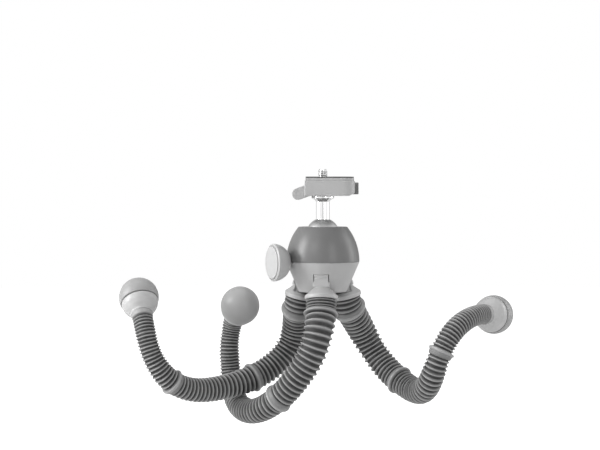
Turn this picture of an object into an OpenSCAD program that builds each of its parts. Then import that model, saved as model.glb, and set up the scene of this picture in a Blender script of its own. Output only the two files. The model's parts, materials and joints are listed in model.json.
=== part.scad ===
// Flexible leg tripod: a ball head on three bendable legs, with the legs wound round a bar's width of space.
// The origin lies on the axis that the legs wind round, straight under the head.
// +X runs along that axis, +Y to the back and +Z up. Sizes are in millimetres.

/* [Grip] */
// Diameter of the space that the legs wind round
grip_d = 33.4; // [32:0.2:36]

/* [Housing] */
// Height of the lower shell's bottom edge above the grip axis
base_z = 40.4; // [39:0.2:44]
// Height of the lower shell, up to the parting line
base_h = 20.6; // [20:0.2:22]
// Height of the upper shell, from the parting line to the rim
top_h = 24.1; // [23.6:0.1:25]
// Diameter at the parting line
housing_d = 50.6; // [50:0.2:56]
// Diameter of the lower shell's bottom edge
base_d = 33; // [32.4:0.2:36]
// Diameter of the rim round the ball
rim_d = 33.5; // [31:0.5:36]
// Wall between the lower shell's outside and the leg yoke
base_wall = 1.8; // [1.4:0.1:2]
// Height of the spigot that joins the two shells
spigot_h = 3; // [2:0.5:4]
// Thickness of the spigot
spigot_t = 8; // [6:0.5:9]

/* [Ball and stem] */
// Diameter of the ball
ball_d = 23.2; // [22.8:0.1:23.6]
// Depth of the ball's centre below the rim
ball_drop = 5.5; // [5.2:0.1:5.8]
// Diameter of the stem
stem_d = 9.3; // [8.5:0.1:10]
// Distance from the ball's centre to the stem's flange
stem_l = 23.9; // [22:0.1:28]
// Diameter of the stem's flange
flange_d = 15.5; // [14.5:0.5:16]
// Thickness of the stem's flange
flange_t = 2.8; // [2.4:0.1:3.2]
// Diameter of the stem's shank inside the ball
shank_d = 6; // [5:0.5:7]

/* [Ball lock] */
// Diameter of the cam shaft
shaft_d = 5; // [4:0.2:5.2]
// Diameter of the cam
cam_d = 6.4; // [6.2:0.1:6.8]
// Throw of the cam
cam_throw = 0.5; // [0.4:0.05:0.6]
// Length of the cam
cam_l = 10; // [8:0.5:12]
// Thickness of the pressure plate between cam and seat
lifter_t = 1.5; // [1.2:0.1:1.6]
// Angle from the left side to the front at which the knob points
knob_turn = 24; // [15:1:35]
// Diameter of the knob
knob_d = 25.6; // [22:0.2:27]
// Distance from the head's axis to the knob's rim
knob_out = 38.4; // [37.6:0.2:41]
// Diameter of the knob's hub beside the housing
hub_d = 10.4; // [9:0.2:12]
// Diameter of the cap in the knob's face
cap_d = 22.8; // [18:0.2:23.2]
// Rise of the cap's dome
cap_rise = 1.4; // [1:0.1:2]

/* [Clamp] */
// Width of the clamp
clamp_w = 34.5; // [34:0.5:38]
// Depth of the clamp, front to back
clamp_depth = 36; // [34:0.5:42]
// Height of the clamp's body
clamp_h = 10.4; // [10:0.1:11]
// Distance from the head's axis to the clamp's left side
clamp_left = 12.5; // [12.2:0.1:13]
// Radius of the clamp's rounded right corners
clamp_round = 8; // [5:0.5:9]
// Thickness of the plate's flange
plate_t = 1.7; // [1.4:0.1:2.5]
// Width of the plate's block, which drops into the clamp
block_w = 21.5; // [18:0.5:22]
// Depth of the plate's block, front to back
block_depth = 26; // [22:0.5:30]
// Height of the plate's block
block_h = 5.8; // [5.4:0.1:6]
// Thickness of the pad on the plate
pad_t = 1; // [0.8:0.1:1.4]
// Diameter of the quarter-inch screw
screw_d = 6.35; // [6.35, 9.525]
// Length of the screw above the pad
screw_reach = 5.5; // [4.5:0.5:7]
// Diameter of the screw's plain neck inside the plate
screw_neck_d = 5; // [4:0.2:5.6]
// Diameter of the screw's head
screw_head_d = 11; // [10:0.2:11.2]
// Thickness of the screw's head
screw_head_t = 2; // [1.6:0.1:2.4]
// Thickness of the lever
lever_t = 8.1; // [7:0.1:8.2]
// Width of the lever, front to back
lever_w = 14; // [10:0.5:18]
// Length of the lever from its pin to the middle of its round end
lever_l = 6.7; // [5.5:0.1:9]
// Angle of the lever below level
lever_slope = 20; // [10:1:25]
// Diameter of the lever's pin
lever_pin_d = 3; // [2:0.2:3.4]
// Width of the lock button, front to back
button_w = 9; // [7:0.5:11]
// Height of the lock button
button_h = 8.2; // [7:0.1:8.4]
// How far the lock button stands out of the clamp
button_out = 2.6; // [2:0.1:3]
// How far the lock button goes in
button_travel = 1.5; // [1:0.1:1.7]
// Number of turns in the button's spring
spring_turns = 5; // [4:1:6]
// Wire of the button's spring
spring_wire = 0.5; // [0.4:0.05:0.5]

/* [Shoulders] */
// Distance from the lower shell's outside in to the legs' hinge pins, at their height
hinge_in = 4.55; // [4.2:0.05:4.8]
// Height of the hinge pins above the lower shell's bottom edge
hinge_h = 7.6; // [7.2:0.1:8]
// Diameter of the hinge pins
pin_d = 3; // [2:0.2:3.4]
// Length of the hinge pins
pin_l = 16; // [14:0.5:16.5]
// Width of the shoulder's knuckle
knuckle_w = 9.5; // [8:0.1:10]
// Gap on each side of the knuckle
knuckle_gap = 0.5; // [0.4:0.05:0.6]
// Diameter of the shoulder's knuckle
knuckle_d = 8.4; // [7.6:0.1:8.6]
// Radius of the flap above the pin, from the pin to its tip
flap_r = 7.8; // [7:0.1:8]
// Thickness of the shoulder's neck
neck_t = 6.6; // [6:0.1:7.4]
// Diameter of the shoulder's cup
cup_d = 22.6; // [22.2:0.1:24]
// Distance from the hinge pin to the cup's lip
cup_l = 12.4; // [11.6:0.1:13]
// Thickness of the cup's lip
lip_t = 2.4; // [2:0.1:2.8]
// Depth of the seat for the sleeve in the cup
cup_seat = 1.6; // [1:0.1:2]
// Angle between the legs' shoulders and straight down
splay = 14; // [8:1:25]

/* [Legs] */
// Length of the sleeve
sleeve_l = 201; // [199:1:204]
// Diameter of the sleeve below the shoulder's cup
sleeve_top_d = 21.6; // [20:0.2:22]
// Diameter of the sleeve at the foot
sleeve_foot_d = 13.6; // [13:0.2:15]
// Diameter of the sleeve's end in the cup's seat
sleeve_end_d = 16.8; // [16:0.2:18]
// How far the wide bands stand out
band_out = 1.2; // [0.8:0.1:1.6]
// Width of the wide bands
band_w = 5.6; // [4:0.2:7]
// Length of the plain collar at the foot
collar_l = 4; // [3:0.5:6]
// Diameter of the bendable core
core_d = 6.4; // [5:0.2:6.6]

/* [Feet] */
// Diameter of the foot's rubber ball
foot_d = 27.2; // [26:0.2:28]
// Length of the foot's cup
foot_cup_l = 10; // [9:0.5:12]
// Diameter of the foot cup's rim
foot_rim_d = 24.8; // [24:0.2:25.4]
// Width of the groove between cup and ball
foot_groove = 0.7; // [0.5:0.1:1]
// Diameter of the groove's floor
foot_groove_d = 22; // [20:0.5:23]
// Diameter of the cup's spigot in the ball
foot_spigot_d = 12; // [10:0.5:14]
// Length of the cup's spigot in the ball
foot_spigot_l = 5; // [4:0.5:6]

/* [Fits] */
// Radial clearance of a running fit
run_fit = 0.05; // [0.03:0.01:0.08]
// Clearance of a sliding fit, each side
slide_fit = 0.1; // [0.08:0.02:0.2]
// Clearance between pieces that must not touch
free_gap = 0.3; // [0.25:0.05:0.4]
// Gap between the sleeve's stretches
part_gap = 0.1; // [0.05:0.05:0.2]

/* [Hidden] */
$fn = 96;
over = 1;

// Heights of the head's main levels
part_z = base_z + base_h;
rim_z = part_z + top_h;
ball_z = rim_z - ball_drop;
ball_r = ball_d / 2;
flange_z = ball_z + stem_l;
clamp_z = flange_z + flange_t;
clamp_top = clamp_z + clamp_h;
plate_top = clamp_top + plate_t;
pad_top = plate_top + pad_t;
hinge_z = base_z + hinge_h;

// Inside of the housing
housing_r = housing_d / 2;
cone_slope = (housing_d - base_d) / 2 / base_h;
slot_w = knuckle_w + 2 * knuckle_gap;
hinge_r = base_d / 2 + cone_slope * hinge_h - hinge_in;
seat_r = ball_r + free_gap;
cavity_r = seat_r + run_fit;
cam_z = part_z;
cam_top = cam_z + cam_throw + cam_d / 2;
lifter_z = cam_top + run_fit;
seat_z = lifter_z + lifter_t + run_fit;
seat_h = 5;
cam_floor = cam_z - cam_throw - cam_d / 2 - free_gap;
yoke_top = cam_floor - 2.4;
yoke_z = base_z + 0.5;
journal_l = 16;
yoke_screw_in = 4;
yoke_screw_ring = hinge_r - yoke_screw_in;
yoke_screw_d = 2.4;
yoke_screw_head_t = 1.6;
yoke_screw_sink = 0.4;
yoke_screw_end = cam_floor - 0.6;
spigot_r = cavity_r + spigot_t;

// Clamp layout, from the head's axis
clamp_right = clamp_w - clamp_left;
lever_x = -clamp_left + 1.7;
lever_z = clamp_z + 3.6;
lever_r = lever_t / 2;
block_x = lever_x + lever_r + free_gap;
block_z = clamp_top - block_h;
head_z = block_z + 0.2;
button_z = clamp_z + clamp_h / 2;
button_back = clamp_right - 3.4;
button_floor = button_back - button_travel - 0.5;
spring_l = 5;
spring_r = 1.8;
tenon_r = 4;
tenon_h = 3.4;

// Stations along a sleeve, from the cup's seat to the foot: the wide bands, the plain lengths between them
// and the four places where a leg bends. Bands and bends lie at shares of the sleeve's length.
band_at = sleeve_l * [0.05, 0.393, 0.726];
clear_s = cup_seat + 4.2;
plain_from = [for (b = band_at) b + band_w / 2];
plain_to = [band_at[1] - band_w / 2, band_at[2] - band_w / 2, sleeve_l - collar_l];
collar_d = sleeve_foot_d + 0.6;
bend_s = sleeve_l * [0.13, 0.378, 0.64, 0.885];
cuts = concat([0], bend_s, [sleeve_l]);
stretches = len(cuts) - 1;

// Legs: the letter, the way that the shoulder faces, and the route that the leg takes.
// A point of a route is [place along the grip axis, angle round it, distance out from the grip].
// Angles run from straight up towards the front, and the back is negative.
legs = [
    ["a", 267, [[-2, 56, 15], [-6, 86, 11.5], [-14, 114, 12.5], [-27, 144, 18.5], [-46, 174, 25.5],
                [-62, 204, 28], [-66, 238, 21], [-67, 265, 14], [-66, 286, 18], [-63, 305, 21],
                [-60, 319, 15], [-57, 337, 9]]],
    ["b", 150, [[-18, -60, 11], [-22, -92, 10], [-35, -122, 10], [-54, -151, 9.2], [-72, -180, 9],
                [-89, -208, 12.5], [-105, -236, 14], [-115, -268, 11], [-119, -300, 12.5],
                [-123, -330, 17], [-128, -364, 19], [-131, -392, 20]]],
    ["c", 30, [[26, -60, 10.5], [34, -92, 9.8], [45, -126, 9.8], [59, -162, 9.5], [69, -204, 13],
               [74, -242, 12], [79, -274, 9], [87, -304, 10.5], [100, -332, 9.5], [111, -360, 7.4],
               [117, -388, 8.5], [122, -412, 13]]]
];

// The names of the nodes
head_nodes = ["housing_base", "housing_top", "leg_yoke", "hinge_pins", "yoke_screws", "seat_cup", "lifter",
              "cam_shaft", "knob", "knob_cap", "ball", "stem", "clamp_body", "clamp_lever", "lever_pin",
              "lock_button", "button_spring", "plate", "plate_pad", "plate_screw"];
function leg_name(leg, piece) = str("leg_", leg[0], "_", piece);

// Colours of the finishes
dark_grey = [0.32, 0.32, 0.33];
light_grey = [0.68, 0.68, 0.68];
pale = [0.86, 0.86, 0.85];
sleeve_grey = [0.25, 0.25, 0.25];
rubber_grey = [0.55, 0.55, 0.55];
steel = [0.75, 0.76, 0.78];

// A leg's route: a smooth curve in the coordinates round the grip axis, then its points in space
function unit(v) = v / norm(v);
function round_grip(p) = [p.x, atan2(-p.y, p.z), norm([p.y, p.z])];
function in_space(q) = [q[0], -q[2] * sin(q[1]), q[2] * cos(q[1])];
function blend4(a, b, c, d, t) =
    (a * pow(1 - t, 3) + b * (3 * pow(t, 3) - 6 * t * t + 4) + c * (-3 * pow(t, 3) + 3 * t * t + 3 * t + 1)
     + d * pow(t, 3)) / 6;
function out_from_head(leg, r, z) = [r * cos(leg[1]), r * sin(leg[1]), z];
function shoulder_at(leg, l) = out_from_head(leg, hinge_r + l * sin(splay), hinge_z - l * cos(splay));
function shoulder_way(leg) = unit(shoulder_at(leg, 1) - shoulder_at(leg, 0));
start_l = cup_l - cup_seat;
start_step = 10;
function route_points(leg) = concat(
    [for (i = [-1:1]) round_grip(shoulder_at(leg, start_l + i * start_step))],
    [for (q = leg[2]) [q[0], q[1], grip_d / 2 + q[2]]]);
route_steps = 10;
function route_curve(q) = [for (i = [0:len(q) - 4]) for (j = [0:route_steps - 1])
    in_space(blend4(q[i], q[i + 1], q[i + 2], q[i + 3], j / route_steps))];
function travelled(p) = [for (i = 0, s = 0; i < len(p);
    i = i + 1, s = s + (i < len(p) ? norm(p[i] - p[i - 1]) : 0)) s];
curves = [for (leg = legs) route_curve(route_points(leg))];
lengths = [for (c = curves) travelled(c)];
tables = [for (i = [0:len(legs) - 1]) [for (axis = [0:2])
    [for (j = [0:len(curves[i]) - 1]) [lengths[i][j], curves[i][j][axis]]]]];
function look(i, s) = [for (axis = [0:2]) lookup(s, tables[i][axis])];
look_step = 2;
// A leg follows its route to the sleeve's end, and a sleeve that is longer than the route runs on straight
function on_route(i, s) = min(s, sleeve_l, lengths[i][len(lengths[i]) - 1] - look_step);
function way(i, s) = s <= 0 ? shoulder_way(legs[i])
    : let (m = on_route(i, s)) unit(look(i, m + look_step) - look(i, max(m - look_step, 0)));
function place(i, s) = let (m = on_route(i, s)) look(i, m) + (s - m) * way(i, m);
function to_grip(p) = [0, -p.y, -p.z];
function side_way(i, s) = let (t = way(i, s), g = to_grip(place(i, s))) unit(g - (g * t) * t);

// The sleeve's outline: rings of [station, radius]
sides = 12;
ring_step = 8;
function tube_r(s) = (sleeve_top_d + (sleeve_foot_d - sleeve_top_d) * s / sleeve_l) / 2;
function plain_rings(i) = let (from = plain_from[i], to = plain_to[i], n = ceil((to - from) / ring_step))
    [for (j = [0:n]) let (s = from + (to - from) * j / n) [s, tube_r(s)]];
function band_rings(b) = [for (side = [-1, 1]) [b + side * band_w * 0.3, tube_r(b) + band_out]];
end_rings = [[cup_seat, sleeve_end_d / 2], [clear_s, sleeve_end_d / 2],
    [band_at[0] - band_w / 2, tube_r(band_at[0])]];
collar_rings = [[sleeve_l - collar_l * 0.8, collar_d / 2]];
sleeve_rings = concat(end_rings,
    [for (i = [0:len(band_at) - 1]) each concat(band_rings(band_at[i]), plain_rings(i))], collar_rings);
function end_r(s) = s <= 0 ? sleeve_end_d / 2 : s >= sleeve_l ? collar_d / 2 : tube_r(s);
function stretch_rings(k) = let (from = cuts[k - 1] + (k > 1 ? part_gap / 2 : 0),
        to = cuts[k] - (k < stretches ? part_gap / 2 : 0))
    concat([[from, end_r(cuts[k - 1])]],
        [for (q = sleeve_rings) if (q[0] > from + 0.2 && q[0] < to - 0.2) q],
        [[to, end_r(cuts[k])]]);

// Rings of points round a leg's route, and the triangles between rings
function ring_points(i, rings) = [for (q = rings) let (p = place(i, q[0]), u = side_way(i, q[0]),
    v = cross(way(i, q[0]), u)) for (k = [0:sides - 1]) let (a = 360 * (k + 0.5) / sides)
    p + q[1] * (cos(a) * u + sin(a) * v)];
function wall(first, count, n = sides) = [for (i = [0:count - 2]) for (k = [0:n - 1])
    let (a = first + i * n + k, b = first + i * n + (k + 1) % n) each [[a, a + n, b + n], [a, b + n, b]]];
function turned(faces) = [for (f = faces) [f[2], f[1], f[0]]];
function lid(first, n = sides) = [for (k = [1:n - 2]) [first, first + k, first + k + 1]];

module swept_rod(i, rings) {
    polyhedron(ring_points(i, rings),
        concat(wall(0, len(rings)), lid(0), turned(lid((len(rings) - 1) * sides))));
}

// Placing helpers
module round_legs() {
    for (leg = legs)
        rotate([0, 0, leg[1]])
            children();
}

module at_hinge(leg) {
    rotate([0, 0, leg[1]])
        translate([hinge_r, 0, hinge_z])
            children();
}

module across(d, l) {
    rotate([90, 0, 0])
        cylinder(d = d, h = l, center = true);
}

module along_knob() {
    translate([0, 0, cam_z])
        rotate([0, 0, 180 + knob_turn])
            rotate([0, 90, 0])
                children();
}

module along_leg_end(i) {
    t = way(i, sleeve_l);
    translate(place(i, sleeve_l))
        rotate([0, acos(t.z), atan2(t.y, t.x)])
            children();
}

// The lower shell's outer cone, drawn in by a margin
module base_cone(margin) {
    slant = margin * sqrt(1 + cone_slope * cone_slope);
    rotate_extrude()
        polygon([[0, base_z - over], [base_d / 2 - over * cone_slope - slant, base_z - over],
            [housing_r - slant, part_z], [0, part_z]]);
}

// The room that a shoulder swings in
module shoulder_slot() {
    translate([hinge_r, 0, hinge_z])
        across(2 * (flap_r + free_gap), slot_w);
    translate([hinge_r - knuckle_d / 2 - free_gap, -slot_w / 2, base_z - over])
        cube([housing_r, slot_w, hinge_h + over]);
    // The slot opens out at the bottom, for the flare of a leg that swings in
    translate([hinge_r, 0, base_z - 0.01])
        cylinder(r1 = slot_w / 2 + 2.8, r2 = slot_w / 2, h = 3.2);
}

module shaft_bore() {
    along_knob()
        translate([0, 0, -journal_l])
            cylinder(d = shaft_d + 2 * run_fit, h = journal_l + housing_d);
}

// Head: housing
module housing_base() {
    color(light_grey)
        difference() {
            union() {
                intersection() {
                    base_cone(0);
                    translate([0, 0, base_z])
                        cylinder(r = housing_r, h = base_h);
                }
                translate([0, 0, part_z - over])
                    cylinder(r = spigot_r, h = over + spigot_h);
            }
            translate([0, 0, cam_floor])
                cylinder(r = cavity_r, h = base_h + spigot_h);
            intersection() {
                base_cone(base_wall);
                translate([0, 0, base_z - over])
                    cylinder(r = housing_r, h = yoke_top - base_z + over);
            }
            round_legs()
                shoulder_slot();
            shaft_bore();
            // The shaft drops into the spigot from above
            rotate([0, 0, knob_turn])
                translate([-housing_r, -shaft_d / 2 - slide_fit, cam_z + free_gap])
                    cube([housing_r + journal_l, shaft_d + 2 * slide_fit, spigot_h + over]);
            hinge_bores();
            yoke_screw_holes();
        }
}

module housing_top() {
    // The outside is one round arc from the parting line, where it stands upright, to the rim
    draw_in = housing_r - rim_d / 2;
    arc_r = (draw_in * draw_in + top_h * top_h) / (2 * draw_in);
    color(dark_grey)
        difference() {
            rotate_extrude()
                intersection() {
                    translate([housing_r - arc_r, part_z])
                        circle(r = arc_r, $fn = 192);
                    translate([0, part_z])
                        square([housing_r, top_h]);
                }
            translate([0, 0, part_z - over])
                cylinder(r = cavity_r, h = ball_z - part_z + over);
            translate([0, 0, ball_z])
                sphere(r = cavity_r);
            translate([0, 0, part_z - over])
                cylinder(r = spigot_r + run_fit, h = over + spigot_h + run_fit);
            shaft_bore();
        }
}

module leg_yoke() {
    color(dark_grey)
        difference() {
            intersection() {
                base_cone(base_wall);
                translate([0, 0, yoke_z])
                    cylinder(r = housing_r, h = yoke_top - yoke_z);
            }
            round_legs() {
                shoulder_slot();
                // The yoke leaves the slot open behind the flap, up to its top
                translate([hinge_r, -slot_w / 2, hinge_z])
                    cube([housing_r, slot_w, flap_r + free_gap]);
            }
            hinge_bores();
            yoke_screw_holes();
            at_yoke_screws()
                translate([0, 0, yoke_z - over])
                    cylinder(r = yoke_screw_d + free_gap, h = over + yoke_screw_sink + yoke_screw_head_t);
        }
}

module hinge_bores() {
    for (leg = legs)
        at_hinge(leg)
            across(pin_d, pin_l);
}

module hinge_pins() {
    color(steel)
        hinge_bores();
}

module at_yoke_screws() {
    for (leg = legs)
        rotate([0, 0, leg[1] + 60])
            translate([yoke_screw_ring, 0, 0])
                children();
}

module yoke_screw_holes() {
    at_yoke_screws()
        translate([0, 0, yoke_z - over])
            cylinder(d = yoke_screw_d, h = yoke_screw_end - yoke_z + over + free_gap);
}

module yoke_screws() {
    color(steel)
        at_yoke_screws()
            translate([0, 0, yoke_z + yoke_screw_sink]) {
                cylinder(r = yoke_screw_d, h = yoke_screw_head_t);
                cylinder(d = yoke_screw_d, h = yoke_screw_end - yoke_z - yoke_screw_sink);
            }
}

// Head: ball lock
module seat_cup() {
    color(rubber_grey)
        difference() {
            translate([0, 0, seat_z])
                cylinder(r = seat_r, h = seat_h);
            translate([0, 0, ball_z])
                sphere(r = ball_r + run_fit);
        }
}

module lifter() {
    color(steel)
        translate([0, 0, lifter_z])
            cylinder(r = seat_r, h = lifter_t);
}

knob_hub = housing_r + free_gap + 0.3;
knob_face = knob_out - 1.4;
module cam_shaft() {
    color(steel)
        along_knob() {
            translate([0, 0, -journal_l + free_gap])
                cylinder(d = shaft_d, h = knob_face - 2 + journal_l - free_gap);
            translate([-cam_throw, 0, -cam_l / 2])
                cylinder(d = cam_d, h = cam_l);
        }
}

module knob() {
    knob_r = knob_d / 2;
    depth = knob_face - knob_hub;
    inset = knob_r - hub_d / 2;
    bowl_r = (inset * inset + depth * depth) / (2 * inset);
    color(light_grey)
        along_knob()
            rotate_extrude()
                difference() {
                    union() {
                        intersection() {
                            translate([knob_r - bowl_r, knob_face])
                                circle(r = bowl_r);
                            translate([0, knob_hub])
                                square([knob_r, depth]);
                        }
                        translate([0, knob_face - 0.01])
                            square([knob_r, knob_out - knob_face]);
                    }
                    translate([0, knob_face])
                        square([cap_d / 2 + 0.6, knob_out]);
                    square([shaft_d / 2, knob_face - 2]);
                }
}

module knob_cap() {
    cap_r = cap_d / 2;
    dome_r = (cap_r * cap_r + cap_rise * cap_rise) / (2 * cap_rise);
    color(pale)
        along_knob()
            rotate_extrude()
                union() {
                    translate([0, knob_face])
                        square([cap_r, 1]);
                    intersection() {
                        translate([0, knob_face + 1 + cap_rise - dome_r])
                            circle(r = dome_r, $fn = 360);
                        translate([0, knob_face])
                            square([cap_r, 1 + cap_rise]);
                    }
                }
}

ball_flat = sqrt(ball_r * ball_r - pow(stem_d / 2 + 0.5, 2));
shank_l = 9;
module ball() {
    color(rubber_grey)
        translate([0, 0, ball_z])
            difference() {
                intersection() {
                    sphere(r = ball_r);
                    translate([0, 0, -ball_d])
                        cylinder(d = 2 * ball_d, h = ball_d + ball_flat);
                }
                translate([0, 0, ball_flat - shank_l - run_fit])
                    cylinder(d = shank_d + 2 * run_fit, h = shank_l + over);
            }
}

module stem() {
    color(steel)
        translate([0, 0, ball_z])
            rotate_extrude()
                polygon([[0, ball_flat - shank_l], [shank_d / 2, ball_flat - shank_l],
                    [shank_d / 2, ball_flat + run_fit], [stem_d / 2, ball_flat + run_fit],
                    [stem_d / 2, stem_l - 0.6], [flange_d * 0.36, stem_l],
                    [flange_d / 2, stem_l + flange_t * 0.45], [flange_d / 2, stem_l + flange_t],
                    [tenon_r, stem_l + flange_t], [tenon_r, stem_l + flange_t + tenon_h],
                    [0, stem_l + flange_t + tenon_h]]);
}

// Head: clamp. The outline is square on the left and well rounded on the right.
module clamp_outline(margin) {
    l = clamp_left - margin;
    r = clamp_right - margin;
    half = clamp_depth / 2 - margin;
    big = clamp_round - margin;
    translate([-l, -half])
        square([l + r - big, 2 * half]);
    translate([r - big - over, -half + big])
        square([big + over, 2 * (half - big)]);
    for (y = [-1, 1])
        translate([r - big, y * (half - big)])
            circle(r = big);
}

module lever_slot() {
    w = lever_w + 2 * free_gap;
    translate([lever_x, 0, lever_z])
        across(lever_t + 2 * free_gap, w);
    translate([-clamp_left - over, -w / 2, clamp_z - over])
        cube([clamp_left + over + lever_x, w, over + lever_z - clamp_z + lever_r + free_gap]);
    translate([lever_x - over, -w / 2, clamp_z - over])
        cube([over + lever_r + free_gap, w, over + lever_z - clamp_z]);
}

module button_shape(extra) {
    r = 2;
    w = button_w + 2 * extra;
    h = button_h + 2 * extra;
    rotate([90, 0, 90])
        linear_extrude(clamp_right + button_out + over)
            union() {
                square([w - 2 * r, h], center = true);
                square([w, h - 2 * r], center = true);
                for (x = [-1, 1])
                    for (y = [-1, 1])
                        translate([x * (w / 2 - r), y * (h / 2 - r)])
                            circle(r = r);
            }
}

module button_bar(from, to, extra) {
    intersection() {
        translate([0, 0, button_z])
            button_shape(extra);
        translate([from, -clamp_depth, clamp_z - over])
            cube([to - from, 2 * clamp_depth, clamp_h + 2 * over]);
    }
}

lever_pin_l = lever_w + 9;
module clamp_body() {
    color(light_grey)
        difference() {
            translate([0, 0, clamp_z])
                linear_extrude(clamp_h)
                    clamp_outline(0);
            // Pocket for the plate's block
            translate([block_x - slide_fit, -block_depth / 2 - slide_fit, block_z - slide_fit])
                cube([block_w + 2 * slide_fit, block_depth + 2 * slide_fit, block_h + over]);
            lever_slot();
            translate([lever_x, 0, lever_z])
                across(lever_pin_d, lever_pin_l);
            button_bar(button_floor, clamp_right + over, slide_fit);
            translate([0, 0, clamp_z - over])
                cylinder(r = tenon_r, h = over + tenon_h);
            // The underside rises a little at the right end
            translate([clamp_right - 4, -clamp_depth, clamp_z])
                rotate([0, -27, 0])
                    translate([0, 0, -5])
                        cube([12, 2 * clamp_depth, 5]);
        }
}

module clamp_lever() {
    color(light_grey)
        translate([lever_x, 0, lever_z])
            rotate([0, 180 - lever_slope, 0])
                difference() {
                    union() {
                        across(lever_t, lever_w);
                        translate([lever_l, 0, 0])
                            across(lever_t, lever_w);
                        translate([0, -lever_w / 2, -lever_r])
                            cube([lever_l, lever_w, lever_t]);
                    }
                    across(lever_pin_d + 2 * run_fit, lever_w + over);
                }
}

module lever_pin() {
    color(steel)
        translate([lever_x, 0, lever_z])
            across(lever_pin_d, lever_pin_l);
}

module lock_button() {
    color(dark_grey)
        difference() {
            button_bar(button_back, clamp_right + button_out, 0);
            translate([button_back - over, 0, button_z])
                rotate([0, 90, 0])
                    cylinder(r = spring_r + spring_wire / 2 + free_gap, h = over + spring_hole);
        }
}

spring_hole = button_floor + spring_l - button_back;
module button_spring() {
    rings = spring_turns * 8;
    n = 6;
    half = spring_wire / 2;
    points = [for (i = [0:rings]) let (a = 45 * i, x = button_floor + half + (spring_l - spring_wire) * i / rings)
        for (k = [0:n - 1]) let (b = 360 * k / n, r = spring_r + half * cos(b))
        [x + half * sin(b), r * cos(a), button_z + r * sin(a)]];
    color(steel)
        polyhedron(points, concat(wall(0, rings + 1, n), lid(0, n), turned(lid(rings * n, n))));
}

screw_bore = screw_d / 2 + 0.15;
module plate() {
    color(light_grey)
        difference() {
            union() {
                translate([0, 0, clamp_top])
                    linear_extrude(plate_t)
                        clamp_outline(0.6);
                translate([block_x, -block_depth / 2, block_z])
                    cube([block_w, block_depth, block_h + plate_t / 2]);
            }
            translate([0, 0, block_z - over])
                cylinder(r = screw_bore, h = block_h + plate_t + 2 * over);
            translate([0, 0, block_z - over])
                cylinder(r = screw_head_d / 2 + free_gap / 2, h = over + screw_head_t + 0.2 + run_fit);
        }
}

module plate_pad() {
    color(dark_grey)
        difference() {
            translate([0, 0, plate_top])
                linear_extrude(pad_t)
                    clamp_outline(0.8);
            translate([0, 0, plate_top - over])
                cylinder(r = screw_bore, h = pad_t + 2 * over);
        }
}

module plate_screw() {
    reach = pad_top + screw_reach;
    color(steel)
        difference() {
            rotate_extrude()
                polygon([[0, head_z], [screw_head_d / 2, head_z], [screw_head_d / 2, head_z + screw_head_t],
                    [screw_neck_d / 2, head_z + screw_head_t], [screw_neck_d / 2, pad_top + 0.4],
                    [screw_d / 2, pad_top + 0.4], [screw_d / 2, reach - 0.6], [screw_d / 2 - 0.6, reach],
                    [0, reach]]);
            // Slot across the head
            translate([-screw_head_d, -0.6, head_z - over])
                cube([2 * screw_head_d, 1.2, over + 1]);
        }
}

// Legs: the neck stands a little inside the knuckle's ends, and the flare's top a little inside the neck
neck_inset = 0.2;
flare_inset = 0.3;
module leg_shoulder(i) {
    leg = legs[i];
    w = knuckle_w;
    cup_r = cup_d / 2;
    flare_r = cup_r - w / 2 + flare_inset;
    flare_z = flare_r + lip_t - cup_l;
    color(light_grey)
        difference() {
            union() {
                // Flap above the pin, flush with the lower shell
                intersection() {
                    base_cone(0.05);
                    rotate([0, 0, leg[1]])
                        translate([hinge_r, -w / 2, hinge_z - 1])
                            cube([housing_r, w, flap_r + 1]);
                    at_hinge(leg)
                        across(2 * flap_r, w);
                }
                at_hinge(leg)
                    across(knuckle_d, w);
                at_hinge(leg)
                    rotate([0, -splay, 0]) {
                        translate([-neck_t / 2, neck_inset - w / 2, -cup_l + lip_t])
                            cube([neck_t, w - 2 * neck_inset, cup_l - lip_t]);
                        // Flare from the neck to the cup's lip
                        rotate_extrude()
                            difference() {
                                translate([0, -cup_l])
                                    square([cup_r, cup_l + flare_z]);
                                translate([cup_r, flare_z])
                                    circle(r = flare_r);
                            }
                    }
            }
            at_hinge(leg)
                across(pin_d + 2 * run_fit, w + over);
            at_hinge(leg)
                rotate([0, -splay, 0]) {
                    translate([0, 0, -cup_l - over])
                        cylinder(r = sleeve_end_d / 2 + free_gap, h = over + cup_seat);
                    translate([0, 0, -cup_l])
                        cylinder(d = core_d, h = cup_l - knuckle_d / 2 - 0.4);
                }
        }
}

core_in_cup = cup_l - cup_seat - knuckle_d / 2 - 0.6;
core_in_foot = 7;
module leg_sleeve(i, k) {
    color(sleeve_grey)
        swept_rod(i, stretch_rings(k));
}

// The bendable core's two ends, which are fixed in the shoulder and in the foot
module leg_core_top(i) {
    color(steel)
        at_hinge(legs[i])
            rotate([0, -splay, 0])
                translate([0, 0, -start_l])
                    cylinder(d = core_d, h = core_in_cup);
}

module leg_core_end(i) {
    color(steel)
        along_leg_end(i)
            cylinder(d = core_d, h = core_in_foot);
}

foot_neck_d = collar_d + 0.4;
module leg_foot_cup(i) {
    color(pale)
        along_leg_end(i)
            rotate_extrude()
                polygon([[core_d / 2, 0], [foot_neck_d / 2, 0], [foot_neck_d / 2 + 0.6, 1.6],
                    [foot_rim_d / 2 - 0.3, foot_cup_l - 1.4], [foot_rim_d / 2, foot_cup_l - 0.8],
                    [foot_rim_d / 2, foot_cup_l], [foot_groove_d / 2, foot_cup_l],
                    [foot_groove_d / 2, foot_cup_l + foot_groove],
                    [foot_spigot_d / 2, foot_cup_l + foot_groove],
                    [foot_spigot_d / 2, foot_cup_l + foot_groove + foot_spigot_l],
                    [0, foot_cup_l + foot_groove + foot_spigot_l], [0, core_in_foot], [core_d / 2, core_in_foot]]);
}

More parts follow.
